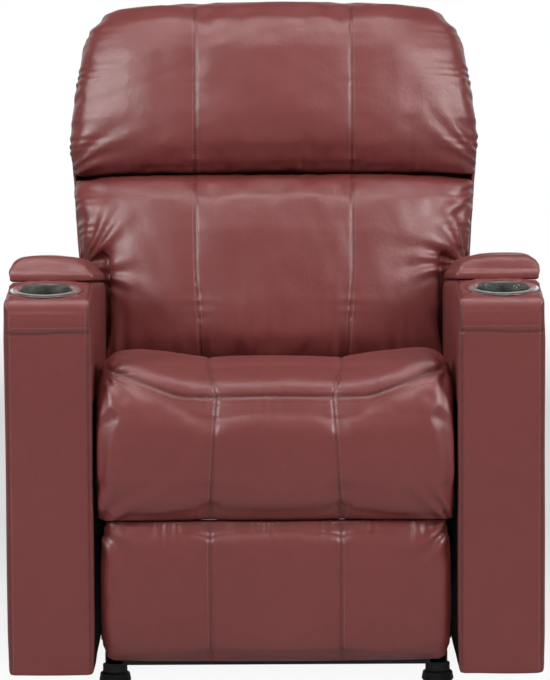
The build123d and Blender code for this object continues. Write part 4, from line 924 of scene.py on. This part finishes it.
# ---------------------------------------------------------------------------
# The four buttons: moulded in grey rubber, with a dull skin, and pushed into
# the control panel.
button_finish, button_surface, button, button_place = finish_of("grey_button_rubber", specular=0.3)
button_grain = button.noise(button_place, 1100.0, 2.0)
put(button_surface, Base_Color=button.blend(button_grain, (0.10, 0.10, 0.105, 1), (0.17, 0.17, 0.175, 1)))
put(button_surface, Roughness=0.55 + button_grain * 0.2, Normal=button.bump(button_grain, 0.0001))
refinish(button_finish, "button_back_recline", "button_back_upright", "button_foot_extend",
         "button_foot_retract")

# ---------------------------------------------------------------------------
# The track rollers and the drive nut: turned from white nylon, a little dull
# where they run.
nylon_finish, nylon_surface, nylon, nylon_place = finish_of("white_nylon", specular=0.4)
nylon_cloud = nylon.noise(nylon_place, 90.0, 3.0)
put(nylon_surface, Base_Color=nylon.blend(nylon_cloud, (0.60, 0.58, 0.52, 1), (0.74, 0.73, 0.69, 1)))
put(nylon_surface, Roughness=0.38 + nylon_cloud * 0.2, Normal=nylon.bump(nylon_cloud, 0.0002))
refinish(nylon_finish, "track_rollers_front", "track_rollers_rear", "drive_nut")

# ---------------------------------------------------------------------------
# The boards inside the arms, at the front of the seat and behind the footrest
# pad: raw plywood, sawn and sanded.
ply_finish, ply_surface, ply, ply_place = finish_of("raw_plywood", specular=0.25)
ply_long = ply.node("ShaderNodeMapping", {}, {"Vector": ply_place, "Scale": (1.0, 9.0, 9.0)})
ply_grain = ply.noise(ply_long, 14.0, 5.0, 0.65)
put(ply_surface, Base_Color=ply.blend(ply_grain, (0.36, 0.24, 0.13, 1), (0.66, 0.50, 0.32, 1)))
put(ply_surface, Roughness=0.62 + ply_grain * 0.2, Normal=ply.bump(ply_grain, 0.0006))
refinish(ply_finish, "arm_frame_left", "arm_frame_right", "footrest_board", "seat_front_board")

# ---------------------------------------------------------------------------
# The back's straps: black webbing in a diagonal weave, stretched across the
# steel frame behind the pillows.
web_finish, web_surface, web, web_place = finish_of("black_webbing", specular=0.2)
web_weave = web.node("ShaderNodeTexWave", {"bands_direction": "DIAGONAL"},
                     {"Vector": web_place, "Scale": 160.0, "Distortion": 1.0})
put(web_surface, Base_Color=web.blend(web_weave, (0.010, 0.010, 0.010, 1), (0.06, 0.06, 0.06, 1)))
put(web_surface, Roughness=0.7 + web_weave * 0.2, Normal=web.bump(web_weave, 0.0008))
refinish(web_finish, "back_straps")
